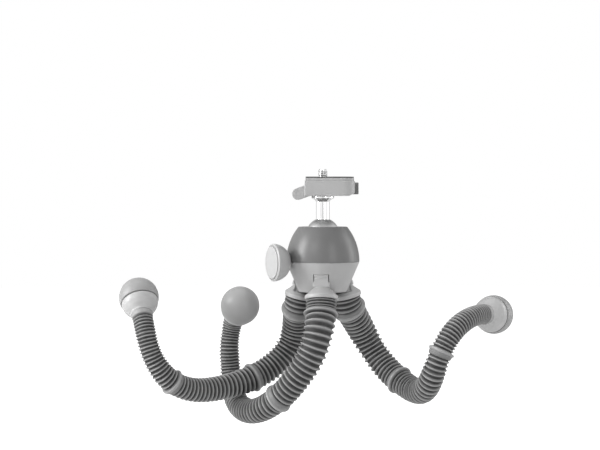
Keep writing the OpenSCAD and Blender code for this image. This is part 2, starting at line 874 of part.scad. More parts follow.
foot_r = foot_d / 2;
foot_sink = 4;
module leg_foot_ball(i) {
    flat = foot_cup_l + foot_groove;
    color(rubber_grey)
        along_leg_end(i)
            difference() {
                translate([0, 0, flat + foot_sink])
                    sphere(r = foot_r);
                translate([0, 0, flat - foot_d])
                    cylinder(d = 2 * foot_d, h = foot_d);
                translate([0, 0, flat - over])
                    cylinder(d = foot_spigot_d, h = over + foot_spigot_l);
            }
}

housing_base();
housing_top();
leg_yoke();
hinge_pins();
yoke_screws();
seat_cup();
lifter();
cam_shaft();
knob();
knob_cap();
ball();
stem();
clamp_body();
clamp_lever();
lever_pin();
lock_button();
button_spring();
plate();
plate_pad();
plate_screw();

// The nodes of the three legs
for (i = [0:len(legs) - 1]) {
    leg_shoulder(i);
    leg_foot_cup(i);
    leg_foot_ball(i);
    leg_core_top(i);
    leg_core_end(i);
    for (k = [1:stretches])
        leg_sleeve(i, k);
}
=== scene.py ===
# %% [markdown]
# # A flexible leg tripod
# This tripod is a small ball head on three legs. Each leg is a ribbed rubber sleeve over a core of soft
# wire, and all three are wound round a bar's width of space, so the head stands upright over the grip. The
# frame that is loaded first holds every piece at its real size and place. The lesson dresses it piece by
# piece: lathe work for what is round, softened copies for what is moulded, and Geometry Nodes for the ribs.

# %% Load the frame
import json
from math import asin, cos, degrees, pi, radians, sin, sqrt

import bmesh
import bpy
import numpy as np
from mathutils import Matrix, Vector


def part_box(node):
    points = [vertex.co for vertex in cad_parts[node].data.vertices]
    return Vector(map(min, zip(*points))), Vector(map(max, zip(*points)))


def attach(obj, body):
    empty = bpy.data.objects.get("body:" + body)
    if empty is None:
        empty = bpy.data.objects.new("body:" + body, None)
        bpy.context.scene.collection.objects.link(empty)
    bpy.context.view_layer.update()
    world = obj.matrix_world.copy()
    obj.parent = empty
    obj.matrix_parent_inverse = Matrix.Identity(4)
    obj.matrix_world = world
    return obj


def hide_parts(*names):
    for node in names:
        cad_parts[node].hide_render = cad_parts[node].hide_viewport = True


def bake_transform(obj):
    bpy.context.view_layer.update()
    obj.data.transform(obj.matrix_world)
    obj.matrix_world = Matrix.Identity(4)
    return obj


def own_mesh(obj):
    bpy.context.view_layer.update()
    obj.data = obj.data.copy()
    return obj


MM = 0.001


def new_object(name, data):
    """A new object in the scene."""
    obj = bpy.data.objects.new(name, data)
    bpy.context.scene.collection.objects.link(obj)
    return obj


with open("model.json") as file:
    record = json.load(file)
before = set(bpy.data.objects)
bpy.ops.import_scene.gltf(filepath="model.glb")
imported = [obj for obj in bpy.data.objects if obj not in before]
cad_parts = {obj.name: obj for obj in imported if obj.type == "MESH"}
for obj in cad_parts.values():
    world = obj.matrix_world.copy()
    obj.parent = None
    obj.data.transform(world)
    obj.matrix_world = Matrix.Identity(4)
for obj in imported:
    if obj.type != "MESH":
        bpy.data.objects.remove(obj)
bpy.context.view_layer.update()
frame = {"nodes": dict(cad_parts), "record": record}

# %% [markdown]
# ## The camera
# The view is level, from straight in front and far enough away that the bar's space looks straight. A long
# lens and a small shift put the head a little right of the middle; both are worked out for a picture 600
# pixels wide.

# %% Camera
PICTURE_WIDTH = 600
FOCAL_PIXELS = 1362
EYE = Vector((0, -940, 103.5)) * MM
lens = bpy.data.cameras.new("camera")
lens.sensor_width = 36
lens.lens = FOCAL_PIXELS / PICTURE_WIDTH * lens.sensor_width
lens.shift_x = -22.8 / PICTURE_WIDTH
lens.shift_y = -25 / PICTURE_WIDTH
camera = new_object("camera", lens)
camera.location = EYE
camera.rotation_euler = (pi / 2, 0, 0)
bpy.context.scene.camera = camera
print("camera: lens", round(lens.lens, 1), "mm")

# %% [markdown]
# ## Small helpers for node trees
# Shader trees and geometry trees are wired the same way, so both use these helpers. `feed` takes
# either another socket or a plain value, `put` adds a node and feeds its inputs, and `calc` adds one Math
# node and hands back its result.


# %% Node helpers
def feed(tree, socket, value):
    """Joins a socket to another one, or gives it a plain value."""
    if isinstance(value, bpy.types.NodeSocket):
        tree.links.new(value, socket)
    else:
        socket.default_value = value


def feed_all(tree, node, inputs):
    """Feeds several inputs of a node by name or number."""
    for label, value in inputs.items():
        feed(tree, node.inputs[label], value)


def put(tree, kind, inputs=None, **settings):
    """A new node in the tree, with its settings and with its inputs fed."""
    node = tree.nodes.new(kind)
    for name, value in settings.items():
        setattr(node, name, value)
    feed_all(tree, node, inputs or {})
    return node


def calc(tree, operation, *values, clamp=False):
    """The result of one Math node."""
    node = put(tree, "ShaderNodeMath", dict(enumerate(values)), operation=operation, use_clamp=clamp)
    return node.outputs[0]


def grey(level):
    """A neutral colour that shows at this level on the screen, where 1 is white."""
    value = ((level + 0.055) / 1.055) ** 2.4
    return (value, value, value, 1)


# %% [markdown]
# ## Effects that the finishes share
# Three effects come back on many surfaces, so each is a shader group that is built once. `moulded grain` is
# the fine spark-eroded texture of a mould, with slow patches of tone. `rubbed edges` reads the `edge`
# attribute, which the pieces carry where they are convex, and breaks it up. `turned lines` are the rings
# that a lathe leaves.


# %% Shader groups
def effect_group(name, inputs, outputs):
    """An empty shader group with float sockets."""
    tree = bpy.data.node_groups.new(name, "ShaderNodeTree")
    for label in inputs:
        tree.interface.new_socket(label, in_out="INPUT", socket_type="NodeSocketFloat")
    for label in outputs:
        tree.interface.new_socket(label, in_out="OUTPUT", socket_type="NodeSocketFloat")
    return tree, put(tree, "NodeGroupInput"), put(tree, "NodeGroupOutput")


def noise(tree, place, scale, detail):
    """A noise texture's value at a place."""
    return put(tree, "ShaderNodeTexNoise", {"Vector": place, "Scale": scale, "Detail": detail}).outputs[0]


def make_moulded_grain():
    tree, given, result = effect_group("moulded grain", ("Grain Scale", "Tone Scale"), ("Height", "Tone"))
    place = put(tree, "ShaderNodeTexCoord").outputs["Object"]
    feed(tree, result.inputs["Height"], noise(tree, place, given.outputs["Grain Scale"], 3))
    feed(tree, result.inputs["Tone"], noise(tree, place, given.outputs["Tone Scale"], 5))
    return tree


def make_rubbed_edges():
    tree, given, result = effect_group("rubbed edges", ("Amount", "Patch Scale"), ("Mask",))
    place = put(tree, "ShaderNodeTexCoord").outputs["Object"]
    edge = put(tree, "ShaderNodeAttribute", attribute_name="edge").outputs["Fac"]
    patches = noise(tree, place, given.outputs["Patch Scale"], 4)
    broken = calc(tree, "MULTIPLY", edge, calc(tree, "ADD", patches, 0.5))
    feed(tree, result.inputs["Mask"], calc(tree, "MULTIPLY", broken, given.outputs["Amount"], clamp=True))
    return tree


def make_turned_lines():
    tree, given, result = effect_group("turned lines", ("Lines Scale",), ("Height",))
    place = put(tree, "ShaderNodeTexCoord").outputs["Object"]
    rings = put(tree, "ShaderNodeMapping", {"Vector": place, "Scale": (0.01, 0.01, 1)})
    feed(tree, result.inputs["Height"], noise(tree, rings.outputs[0], given.outputs["Lines Scale"], 2))
    return tree


EFFECTS = {tree.name: tree for tree in (make_moulded_grain(), make_rubbed_edges(), make_turned_lines())}
print("shader groups:", ", ".join(EFFECTS))

# %% [markdown]
# ## The finishes
# The head's shells are moulded plastic in two greys, with a fine grain and slightly paler edges. The foot
# cups and the knob's cap are a paler, smoother plastic. One function can make all of these, and rubber too,
# from a pair of close tones, a roughness and a grain. Metal parts get lathe lines instead of grain.


# %% Plastics and rubbers
def place_effect(tree, name, **values):
    """Places a shared effect in a material and gives its inputs their values."""
    inputs = {label.replace("_", " "): value for label, value in values.items()}
    return put(tree, "ShaderNodeGroup", inputs, node_tree=EFFECTS[name]).outputs


def between(tree, share, low, high):
    """A colour between two others."""
    node = put(tree, "ShaderNodeMix", {"Factor": share, "A": low, "B": high}, data_type="RGBA")
    return node.outputs["Result"]


def relief(tree, shader, height, strength, depth):
    """Fine relief on a shader's normal."""
    bump = put(tree, "ShaderNodeBump", {"Strength": strength, "Distance": depth, "Height": height})
    feed(tree, shader.inputs["Normal"], bump.outputs[0])


def new_finish(name):
    """A material, its tree and its Principled shader."""
    material = bpy.data.materials.new(name)
    material.use_nodes = True
    tree = material.node_tree
    return material, tree, tree.nodes["Principled BSDF"]


def moulded(name, tone, spread, roughness, grain_scale, strength, wear=0.35, specular=0.5):
    """Moulded plastic or rubber: two close tones, fine grain in relief and paler edges."""
    material, tree, shader = new_finish(name)
    grain = place_effect(tree, "moulded grain", Grain_Scale=grain_scale, Tone_Scale=70)
    edges = place_effect(tree, "rubbed edges", Amount=wear, Patch_Scale=400)
    body = between(tree, grain["Tone"], grey(tone - spread), grey(tone + spread))
    uneven = calc(tree, "MULTIPLY_ADD", grain["Tone"], 0.16, roughness - 0.08)
    feed_all(tree, shader, {
        "Base Color": between(tree, edges["Mask"], body, grey(min(tone + 0.16, 0.97))),
        "Roughness": calc(tree, "MULTIPLY_ADD", edges["Mask"], -0.1, uneven),
        "Specular IOR Level": specular})
    relief(tree, shader, grain["Height"], strength, 0.03 * MM)
    return material


finishes = {
    "light_plastic": moulded("light plastic", 0.75, 0.02, 0.4, 2600, 0.2, specular=0.6),
    "dark_plastic": moulded("dark plastic", 0.46, 0.02, 0.37, 2600, 0.2, wear=0.25, specular=0.6),
    "pale_plastic": moulded("pale plastic", 0.80, 0.012, 0.34, 1500, 0.12, wear=0.3),
    "inner_plastic": moulded("inner plastic", 0.30, 0.03, 0.5, 1800, 0.3),
    "seat_plastic": moulded("seat plastic", 0.85, 0.02, 0.4, 1500, 0.15),
    "foot_rubber": moulded("foot rubber", 0.67, 0.025, 0.42, 3200, 0.25, wear=0.2, specular=0.55),
    "pad_rubber": moulded("pad rubber", 0.40, 0.03, 0.7, 2200, 0.5, wear=0.3, specular=0.35),
}
print("moulded finishes:", ", ".join(finishes))


# %% Metals
def turned_metal(name, tone, roughness, lines_scale, strength):
    """Bare metal with lathe lines."""
    material, tree, shader = new_finish(name)
    lines = place_effect(tree, "turned lines", Lines_Scale=lines_scale)
    grain = place_effect(tree, "moulded grain", Grain_Scale=4000, Tone_Scale=120)
    body = between(tree, grain["Tone"], grey(tone - 0.03), grey(tone + 0.03))
    smear = calc(tree, "MULTIPLY_ADD", grain["Tone"], 0.5 * roughness, 0.75 * roughness)
    feed_all(tree, shader, {"Base Color": body, "Roughness": smear, "Metallic": 1})
    relief(tree, shader, lines["Height"], strength, 0.01 * MM)
    return material


finishes["ball_metal"] = turned_metal("ball metal", 0.70, 0.5, 9000, 0.2)
finishes["chrome"] = turned_metal("chrome", 0.95, 0.15, 6000, 0.04)
finishes["steel"] = turned_metal("steel", 0.78, 0.28, 8000, 0.2)
finishes["core_wire"] = turned_metal("core wire", 0.72, 0.38, 5000, 0.3)
print("metal finishes: ball_metal, chrome, steel, core_wire")


# %% [markdown]
# The sleeves are dark rubber. Their rib crests are painted pale, as a painted highlight, and their valleys
# dark, as painted shade, and the valleys are also rougher. The ribs know how high they stand, because the
# tree that makes them stores it in a `crest` attribute, so the finish reads that.


# %% Sleeve rubber
def make_sleeve_rubber():
    material, tree, shader = new_finish("sleeve rubber")
    grain = place_effect(tree, "moulded grain", Grain_Scale=3000, Tone_Scale=160)
    crest = put(tree, "ShaderNodeAttribute", attribute_name="crest").outputs["Fac"]
    uneven = calc(tree, "MULTIPLY_ADD", grain["Tone"], 0.35, -0.175)
    # Painted light: high rib places are painted pale as a highlight and low ones dark as shade, with the
    # grain's random tone added.
    wear_and_painted_light = calc(tree, "ADD", crest, uneven, clamp=True)
    # grey(0.17) is the valleys' painted shade and grey(0.68) the crests' painted highlight.
    body = between(tree, wear_and_painted_light, grey(0.17), grey(0.68))
    dull = calc(tree, "MULTIPLY_ADD", wear_and_painted_light, -0.2, 0.66)
    feed_all(tree, shader, {"Base Color": body, "Roughness": dull, "Specular IOR Level": 0.5})
    relief(tree, shader, grain["Height"], 0.3, 0.03 * MM)
    return material


finishes["sleeve_rubber"] = make_sleeve_rubber()
print("finishes:", len(finishes))

# %% [markdown]
# ## Making a piece
# Every piece ends in the same few steps: its mesh becomes an object at the origin, its convex places are
# marked in the `edge` attribute, and it is given its finish and the body that it rides on, while the
# nodes that it stands for are hidden.


# %% Piece helpers
def built(name, work):
    """A new object from a finished bmesh, which is freed."""
    mesh = bpy.data.meshes.new(name)
    work.to_mesh(mesh)
    work.free()
    return new_object(name, mesh)


def settle(obj):
    """Works out the object's modifiers and keeps the result as its plain mesh."""
    graph = bpy.context.evaluated_depsgraph_get()
    mesh = bpy.data.meshes.new_from_object(obj.evaluated_get(graph), depsgraph=graph)
    obj.modifiers.clear()
    obj.data = mesh


EDGE_RADIUS = 1.2 * MM


def mark_edges(mesh):
    """Stores how convex the mesh is at each vertex: 0 where it is flat or hollow, near 1 on an edge."""
    count = len(mesh.vertices)
    places = np.empty(count * 3)
    normals = np.empty(count * 3)
    ends = np.empty(len(mesh.edges) * 2, dtype=int)
    mesh.vertices.foreach_get("co", places)
    mesh.vertices.foreach_get("normal", normals)
    mesh.edges.foreach_get("vertices", ends)
    places, normals, ends = places.reshape(-1, 3), normals.reshape(-1, 3), ends.reshape(-1, 2)
    bend, touched = np.zeros(count), np.zeros(count)
    for a, b in ((0, 1), (1, 0)):
        here, there = ends[:, a], ends[:, b]
        step = places[here] - places[there]
        rise = (normals[here] * step).sum(1) / np.maximum((step ** 2).sum(1), 1e-12)
        np.add.at(bend, here, rise)
        np.add.at(touched, here, 1)
    edge = np.clip(np.tanh(2 * EDGE_RADIUS * bend / np.maximum(touched, 1)) - 0.25, 0, 1)
    mesh.attributes.new("edge", "FLOAT", "POINT").data.foreach_set("value", edge.astype(np.float32))


def body_of_node(node):
    """The body that carries a node."""
    return next(body for body, nodes in frame["record"]["behaviour"]["bodies"].items() if node in nodes)


def dress(obj, slot, body, *nodes):
    """Gives a piece its finish and its body, and hides the nodes that it stands for."""
    mesh = obj.data
    mesh.materials.clear()
    mesh.materials.append(finishes[slot])
    mesh.polygons.foreach_set("use_smooth", [True] * len(mesh.polygons))
    mark_edges(mesh)
    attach(obj, body)
    if nodes:
        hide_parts(*nodes)
    print(obj.name, "rides on", body, "with", len(mesh.polygons), "faces")
    return obj


# %% [markdown]
# ## Lathe work
# Ball, stem, knob, caps and feet are round about an axis, so each is an outline turned about it. An outline
# lists only its corners as (radius, height, rounding). `rounded` turns each rounding into a short arc and
# cuts long stretches into steps, which keeps the shading even.

# %% Lathe helpers
TURN_STEPS = 128
LONG_STEP = 0.9 * MM
UP = Vector((0, 0, 1))


def rounded(corners, arc_steps=6):
    """The outline's points, with arcs in its corners. Sizes come in millimetres and leave in metres."""
    points = []
    for i, corner in enumerate(corners):
        here = Vector(corner[:2]) * MM
        radius = (corner[2] if len(corner) > 2 else 0) * MM
        if not radius:
            points.append(here)
            continue
        back = (Vector(corners[i - 1][:2]) * MM - here).normalized()
        ahead = (Vector(corners[i + 1][:2]) * MM - here).normalized()
        half = back.angle(ahead) / 2
        middle = here + (back + ahead).normalized() * radius / sin(half)
        first = here + back * radius * cos(half) / sin(half) - middle
        last = here + ahead * radius * cos(half) / sin(half) - middle
        for step in range(arc_steps + 1):
            share = step / arc_steps
            points.append(middle + (first * (1 - share) + last * share).normalized() * radius)
    stepped = [points[0]]
    for point in points[1:]:
        steps = max(1, int((point - stepped[-1]).length / LONG_STEP + 0.5))
        start = stepped[-1]
        stepped += [start.lerp(point, (k + 1) / steps) for k in range(steps)]
    return stepped


def arc(middle_r, middle_h, radius, start, end, steps=24):
    """Corners along an arc of an outline, in millimetres, with angles in degrees from straight out."""
    turns = [radians(start + (end - start) * k / steps) for k in range(steps + 1)]
    return [(middle_r + radius * cos(t), middle_h + radius * sin(t)) for t in turns]


def on_axis(place, way):
    """The matrix that takes a piece turned about Z to its place and its way."""
    return Matrix.Translation(place) @ UP.rotation_difference(way).to_matrix().to_4x4()


def turned(name, outline, place=Vector(), way=UP, closed=False):
    """A new object: an outline turned about an axis. A closed outline is joined up from end to start."""
    work = bmesh.new()
    rings = []
    for r, h in rounded(outline):
        if r < 1e-7:
            rings.append([work.verts.new((0, 0, h))])
            continue
        turns = [2 * pi * k / TURN_STEPS for k in range(TURN_STEPS)]
        rings.append([work.verts.new((r * cos(t), r * sin(t), h)) for t in turns])
    pairs = list(zip(rings, rings[1:])) + ([(rings[-1], rings[0])] if closed else [])
    for low, high in pairs:
        if len(low) == len(high) == 1:
            continue
        for k in range(TURN_STEPS):
            n = (k + 1) % TURN_STEPS
            corners = [low[k % len(low)], low[n % len(low)], high[n % len(high)], high[k % len(high)]]
            work.faces.new(list(dict.fromkeys(corners)))
    bmesh.ops.delete(work, geom=[v for v in work.verts if not v.link_faces], context="VERTS")
    bmesh.ops.recalc_face_normals(work, faces=work.faces)
    obj = built(name, work)
    obj.data.transform(on_axis(place, way))
    obj.data.set_sharp_from_angle(angle=radians(40))
    return obj


print("lathe ready:", TURN_STEPS, "steps round")

# %% [markdown]
# ## The upper shell
# The dark upper shell is one smooth arc from the parting line to the rim, hollow inside for the ball. Its
# rim and its lower edge are lightly rounded, as moulded edges are, which is what draws the thin line
# between the shells. Its bore for the cam shaft is cut with a Boolean, because it runs across the turning
# axis.

# %% Upper shell
top_low, top_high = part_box("housing_top")
HOUSING_R = top_high.x / MM
PART_Z = top_low.z / MM
RIM_Z = top_high.z / MM
RIM_R = 16.75
BALL_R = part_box("ball")[1].x / MM
BALL_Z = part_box("ball")[0].z / MM + BALL_R
CAVITY_R = BALL_R + 0.35
SPIGOT_R = CAVITY_R + 8.05
SPIGOT_TOP = PART_Z + 3.05
KNOB_TURN = 24
KNOB_WAY = Vector((-cos(radians(KNOB_TURN)), -sin(radians(KNOB_TURN)), 0))
KNOB_PLACE = Vector((0, 0, PART_Z)) * MM
SHAFT_R = 2.5


def cut_away(obj, cutter):
    """Cuts one object's solid out of another."""
    modifier = obj.modifiers.new("cut", "BOOLEAN")
    modifier.operation = "DIFFERENCE"
    modifier.solver = "EXACT"
    modifier.object = cutter
    settle(obj)
    bpy.data.objects.remove(cutter)


def make_upper_shell():
    draw_in = HOUSING_R - RIM_R
    height = RIM_Z - PART_Z
    arc_r = (draw_in ** 2 + height ** 2) / (2 * draw_in)
    lean = asin(height / arc_r)
    outside = arc(HOUSING_R - arc_r, PART_Z, arc_r, 1.0, degrees(lean) - 1.6, 30)
    mouth = sqrt(CAVITY_R ** 2 - (RIM_Z - BALL_Z) ** 2)
    inside = arc(0, BALL_Z, CAVITY_R, degrees(asin((RIM_Z - BALL_Z) / CAVITY_R)) - 3, 0, 10)
    outline = [(SPIGOT_R, PART_Z), (HOUSING_R, PART_Z, 0.3), *outside, (RIM_R, RIM_Z, 0.8),
               (mouth, RIM_Z, 0.35), *inside, (CAVITY_R, SPIGOT_TOP), (SPIGOT_R, SPIGOT_TOP)]
    shell = turned("upper_shell", outline, closed=True)
    bore = [(0, 0), (SHAFT_R + 0.05, 0), (SHAFT_R + 0.05, 2 * HOUSING_R), (0, 2 * HOUSING_R)]
    cut_away(shell, turned("bore", bore, KNOB_PLACE, KNOB_WAY))
    return dress(shell, "dark_plastic", "housing", "housing_top")


make_upper_shell()

# %% [markdown]
# ## Ball and stem
# The ball is satin metal and the stem bright chrome, with a flange under the clamp. Both are lathe work in
# reality too. The stem stands on a small flat on the ball.

# %% Ball, stem and flange
STEM_R = 4.65
SHANK_R = 3
FLAT_R = STEM_R + 0.5
FLAT_Z = BALL_Z + sqrt(BALL_R ** 2 - FLAT_R ** 2)
SHANK_END = FLAT_Z - 9
SHANK_ROOM = 0.1
FLANGE_Z = BALL_Z + 23.9
CLAMP_Z = FLANGE_Z + 2.8
FLANGE_R = 7.75
TENON_R = 4
TENON_L = 3.4


def make_ball():
    round_part = arc(0, BALL_Z, BALL_R, -90, degrees(asin((FLAT_Z - BALL_Z) / BALL_R)), 48)
    bore = SHANK_R + 0.05
    outline = [(0, BALL_Z - BALL_R), *round_part[1:], (bore, FLAT_Z), (bore, SHANK_END), (0, SHANK_END)]
    return dress(turned("ball_of_head", outline), "ball_metal", "ball", "ball")


def make_stem():
    foot = SHANK_END + SHANK_ROOM
    outline = [(0, foot), (SHANK_R, foot), (SHANK_R, FLAT_Z + 0.05), (STEM_R, FLAT_Z + 0.05, 0.25),
               (STEM_R, FLANGE_Z - 1.2, 0.8), (FLANGE_R * 0.72, FLANGE_Z, 0.6),
               (FLANGE_R, FLANGE_Z + 1.2, 0.5), (FLANGE_R, CLAMP_Z, 0.3), (TENON_R, CLAMP_Z),
               (TENON_R, CLAMP_Z + TENON_L), (0, CLAMP_Z + TENON_L)]
    stem = turned("stem_with_flange", outline)
    return dress(stem, "chrome", body_of_node("stem"), "stem")


make_ball()
make_stem()

# %% [markdown]
# ## The lock knob
# The knob is a bowl on the cam shaft's end. Its face is a pale domed cap, set in a chamfered rim with a
# fine dark groove between them. The groove is real depth, so it needs no paint. The cap's edge stands above
# the rim's, so the groove shows at a slant too.

# %% Knob and cap
HUB_R = 5.2
KNOB_R = 12.8
HUB_H = HOUSING_R + 0.6
FACE_H = 37
RIM_H = 38.4
CHAMFER_H = 1.3
CAP_R = 11
GROOVE_W = 0.6
CAP_EDGE = 1.3
CAP_RISE = 1.5


def make_knob():
    inset, depth = KNOB_R - HUB_R, FACE_H - HUB_H
    bowl_r = (inset ** 2 + depth ** 2) / (2 * inset)
    bowl = arc(KNOB_R - bowl_r, FACE_H, bowl_r, 4 - degrees(asin(depth / bowl_r)), 0, 24)
    outline = [(0, FACE_H - 2), (SHAFT_R, FACE_H - 2), (SHAFT_R, HUB_H), (HUB_R, HUB_H, 0.4), *bowl,
               (KNOB_R, RIM_H - CHAMFER_H, 0.2), (CAP_R + GROOVE_W, RIM_H - 0.4, 0.15),
               (CAP_R + GROOVE_W, FACE_H), (0, FACE_H)]
    return dress(turned("lock_knob", outline, KNOB_PLACE, KNOB_WAY), "light_plastic", "knob", "knob")


def make_knob_cap():
    dome_r = (CAP_R ** 2 + CAP_RISE ** 2) / (2 * CAP_RISE)
    edge = degrees(asin(CAP_R / dome_r))
    top = FACE_H + CAP_EDGE + CAP_RISE
    dome = arc(0, top - dome_r, dome_r, 90 - edge * 0.94, 90, 24)
    outline = [(0, FACE_H), (CAP_R, FACE_H), (CAP_R, FACE_H + CAP_EDGE, 0.3), *dome[:-1], (0, top)]
    cap = turned("lock_knob_cap", outline, KNOB_PLACE, KNOB_WAY)
    return dress(cap, "pale_plastic", "knob", "knob_cap")


make_knob()
make_knob_cap()

# %% [markdown]
# ## Geometry trees
# Several pieces below are made or finished by Geometry Nodes: grooves, ribs, a thread and a coil. A tree is
# built once, with named inputs, and run on an object by setting those inputs. The result is kept as a plain
# mesh.

# %% Geometry tree helpers
FLOAT, COUNT, VECTOR = "NodeSocketFloat", "NodeSocketInt", "NodeSocketVector"


def geometry_tree(name, inputs):
    """A new geometry tree with named inputs, and its two end nodes."""
    tree = bpy.data.node_groups.new(name, "GeometryNodeTree")
    tree.interface.new_socket("Geometry", in_out="INPUT", socket_type="NodeSocketGeometry")
    for label, kind in inputs.items():
        tree.interface.new_socket(label, in_out="INPUT", socket_type=kind)
    tree.interface.new_socket("Geometry", in_out="OUTPUT", socket_type="NodeSocketGeometry")
    return tree, put(tree, "NodeGroupInput").outputs, put(tree, "NodeGroupOutput").inputs


def end_tree(tree, shape, finish, result):
    """Realizes what the tree made and gives it its material."""
    real = put(tree, "GeometryNodeRealizeInstances", {"Geometry": shape})
    paint = put(tree, "GeometryNodeSetMaterial", {"Geometry": real.outputs[0], "Material": finish})
    feed(tree, result["Geometry"], paint.outputs[0])


def run_tree(obj, tree, values):
    """Sets the tree's inputs on an object and keeps the result as its plain mesh."""
    modifier = obj.modifiers.new(tree.name, "NODES")
    modifier.node_group = tree
    for item in tree.interface.items_tree:
        if item.in_out == "INPUT" and item.name in values:
            modifier[item.identifier] = values[item.name]
    settle(obj)


def polyline(name, places):
    """A new object of points joined in a row."""
    mesh = bpy.data.meshes.new(name)
    mesh.from_pydata(places, [(i, i + 1) for i in range(len(places) - 1)], [])
    return new_object(name, mesh)


def sweep(tree, path, radius, sides, caps):
    """A circle swept along a path, with a radius for each ring."""
    circle = put(tree, "GeometryNodeCurvePrimitiveCircle", {"Resolution": sides, "Radius": 1})
    tube = put(tree, "GeometryNodeCurveToMesh", {"Curve": path, "Profile Curve": circle.outputs["Curve"],
                                                 "Scale": radius, "Fill Caps": caps})
    return tube.outputs[0]


# %% [markdown]
# ## Moulded pieces
# The lower shell, the shoulders, the clamp, its lever and its button are moulded: their shapes are right in
# the frame, but every edge there is knife sharp. A voxel remesh of a merged copy gives an even skin, and a
# few smoothing passes melt the edges to the small radii that a mould leaves. A Bevel would be lighter, but
# it trips over the slots that cut these shapes.


# %% Softened copies
def take_in(obj, additions):
    """Adds other objects' meshes to an object's own."""
    work = bmesh.new()
    for part in (obj, *additions):
        work.from_mesh(part.data)
    work.to_mesh(obj.data)
    work.free()
    for part in additions:
        bpy.data.objects.remove(part)


def merged_copy(name, node):
    """A new object with a merged copy of a node's mesh."""
    work = bmesh.new()
    work.from_mesh(frame["nodes"][node].data)
    bmesh.ops.remove_doubles(work, verts=work.verts, dist=1e-6)
    return built(name, work)


def softened(name, node, voxel, passes, additions=()):
    """A merged copy with melted edges, and with the additions melted in."""
    obj = merged_copy(name, node)
    take_in(obj, additions)
    skin = obj.modifiers.new("skin", "REMESH")
    skin.mode = "VOXEL"
    skin.voxel_size = voxel * MM
    melt = obj.modifiers.new("melt", "SMOOTH")
    melt.factor = 0.5
    melt.iterations = passes
    settle(obj)
    return obj


def make_groove_tree():
    """Sinks fine grooves into the faces that look one way, in a field round a middle."""
    inputs = {"Face": VECTOR, "Across": VECTOR, "Middle": VECTOR, "Field": FLOAT, "Pitch": FLOAT,
              "Depth": FLOAT, "Skin": "NodeSocketMaterial"}
    tree, given, result = geometry_tree("fine grooves", inputs)
    place = put(tree, "GeometryNodeInputPosition").outputs[0]
    normal = put(tree, "GeometryNodeInputNormal").outputs[0]
    kind = "ShaderNodeVectorMath"
    offset = put(tree, kind, {0: place, 1: given["Middle"]}, operation="SUBTRACT").outputs[0]
    along = put(tree, kind, {0: offset, 1: given["Across"]}, operation="DOT_PRODUCT").outputs["Value"]
    facing = put(tree, kind, {0: normal, 1: given["Face"]}, operation="DOT_PRODUCT").outputs["Value"]
    turn = calc(tree, "MULTIPLY", calc(tree, "DIVIDE", along, given["Pitch"]), 2 * pi)
    wave = calc(tree, "MULTIPLY_ADD", calc(tree, "COSINE", turn), -0.5, 0.5)
    inside = calc(tree, "LESS_THAN", calc(tree, "ABSOLUTE", along), given["Field"])
    flat = calc(tree, "GREATER_THAN", facing, 0.9)
    deep = calc(tree, "MULTIPLY", flat, given["Depth"])
    sink = calc(tree, "MULTIPLY", calc(tree, "MULTIPLY", wave, inside), deep)
    down = put(tree, kind, {0: given["Face"], "Scale": calc(tree, "MULTIPLY", sink, -1.0)}, operation="SCALE")
    move = put(tree, "GeometryNodeSetPosition", {"Geometry": given["Geometry"], "Offset": down.outputs[0]})
    end_tree(tree, move.outputs[0], given["Skin"], result)
    return tree


groove_tree = make_groove_tree()


def grooved(obj, slot, face, field, pitch, depth):
    """Sinks grooves from left to right into a piece. Field, pitch and depth are in millimetres."""
    low, high = (Vector(fold(v.co[k] for v in obj.data.vertices) for k in range(3)) for fold in (min, max))
    run_tree(obj, groove_tree, {
        "Face": face, "Across": (0, 1, 0), "Middle": (low + high) / 2, "Field": field * MM,
        "Pitch": pitch * MM, "Depth": depth * MM, "Skin": finishes[slot]})


LEVER_SLOPE = radians(20)
MOULDED = {
    "housing_base": ("lower_shell", "light_plastic", 0.36, 3),
    "clamp_body": ("clamp_jaw", "light_plastic", 0.35, 5),
    "clamp_lever": ("lever_of_clamp", "light_plastic", 0.2, 8),
    "lock_button": ("button_of_clamp", "dark_plastic", 0.22, 5),
    "plate": ("mounting_plate", "light_plastic", 0.32, 2),
    "plate_pad": ("mounting_pad", "pad_rubber", 0.2, 2),
}
GROOVES = {
    "clamp_lever": ((sin(LEVER_SLOPE), 0, -cos(LEVER_SLOPE)), 5, 2.0, 0.35),
    "plate_pad": ((0, 0, 1), 13.8, 2.4, 0.4),
}
for node, (name, slot, voxel, passes) in MOULDED.items():
    piece = softened(name, node, voxel, passes)
    if node in GROOVES:
        grooved(piece, slot, *GROOVES[node])
    dress(piece, slot, body_of_node(node), node)

# %% [markdown]
# ## Pieces inside the head
# The yoke, pins, screws, seat, lifter and shaft only show through slots and from below. Merged copies with
# smooth shading, kept sharp where faces meet at an angle, are all they need.

# %% Inner pieces
INNER = {
    "leg_yoke": ("inner_plastic", "yoke_of_legs"),
    "hinge_pins": ("steel", "pins_of_hinges"),
    "yoke_screws": ("steel", "screws_of_yoke"),
    "seat_cup": ("seat_plastic", "seat_of_ball"),
    "lifter": ("steel", "pressure_plate"),
    "cam_shaft": ("steel", "shaft_with_cam"),
    "lever_pin": ("steel", "pin_of_lever"),
}
SCREW_RING = 11.2
RECESS = (2.6, 0.6, 1.6)


def driver_slots(angle):
    """One bar of the crosses that a driver fits, as one object for the three screw heads."""
    head_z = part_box("yoke_screws")[0].z
    work = bmesh.new()
    for azimuth in (327, 210, 90):
        turn = radians(azimuth)
        place = Matrix.Translation((SCREW_RING * MM * cos(turn), SCREW_RING * MM * sin(turn), head_z))
        size = Matrix.Diagonal((*[side * MM for side in RECESS], 1))
        bmesh.ops.create_cube(work, size=1, matrix=place @ Matrix.Rotation(turn + angle, 4, "Z") @ size)
    return built("driver_slots", work)


for node, (slot, name) in INNER.items():
    copy = merged_copy(name, node)
    if node == "yoke_screws":
        for angle in (0, pi / 2):
            cut_away(copy, driver_slots(angle))
    dress(copy, slot, body_of_node(node), node)
    copy.data.set_sharp_from_angle(angle=radians(30))

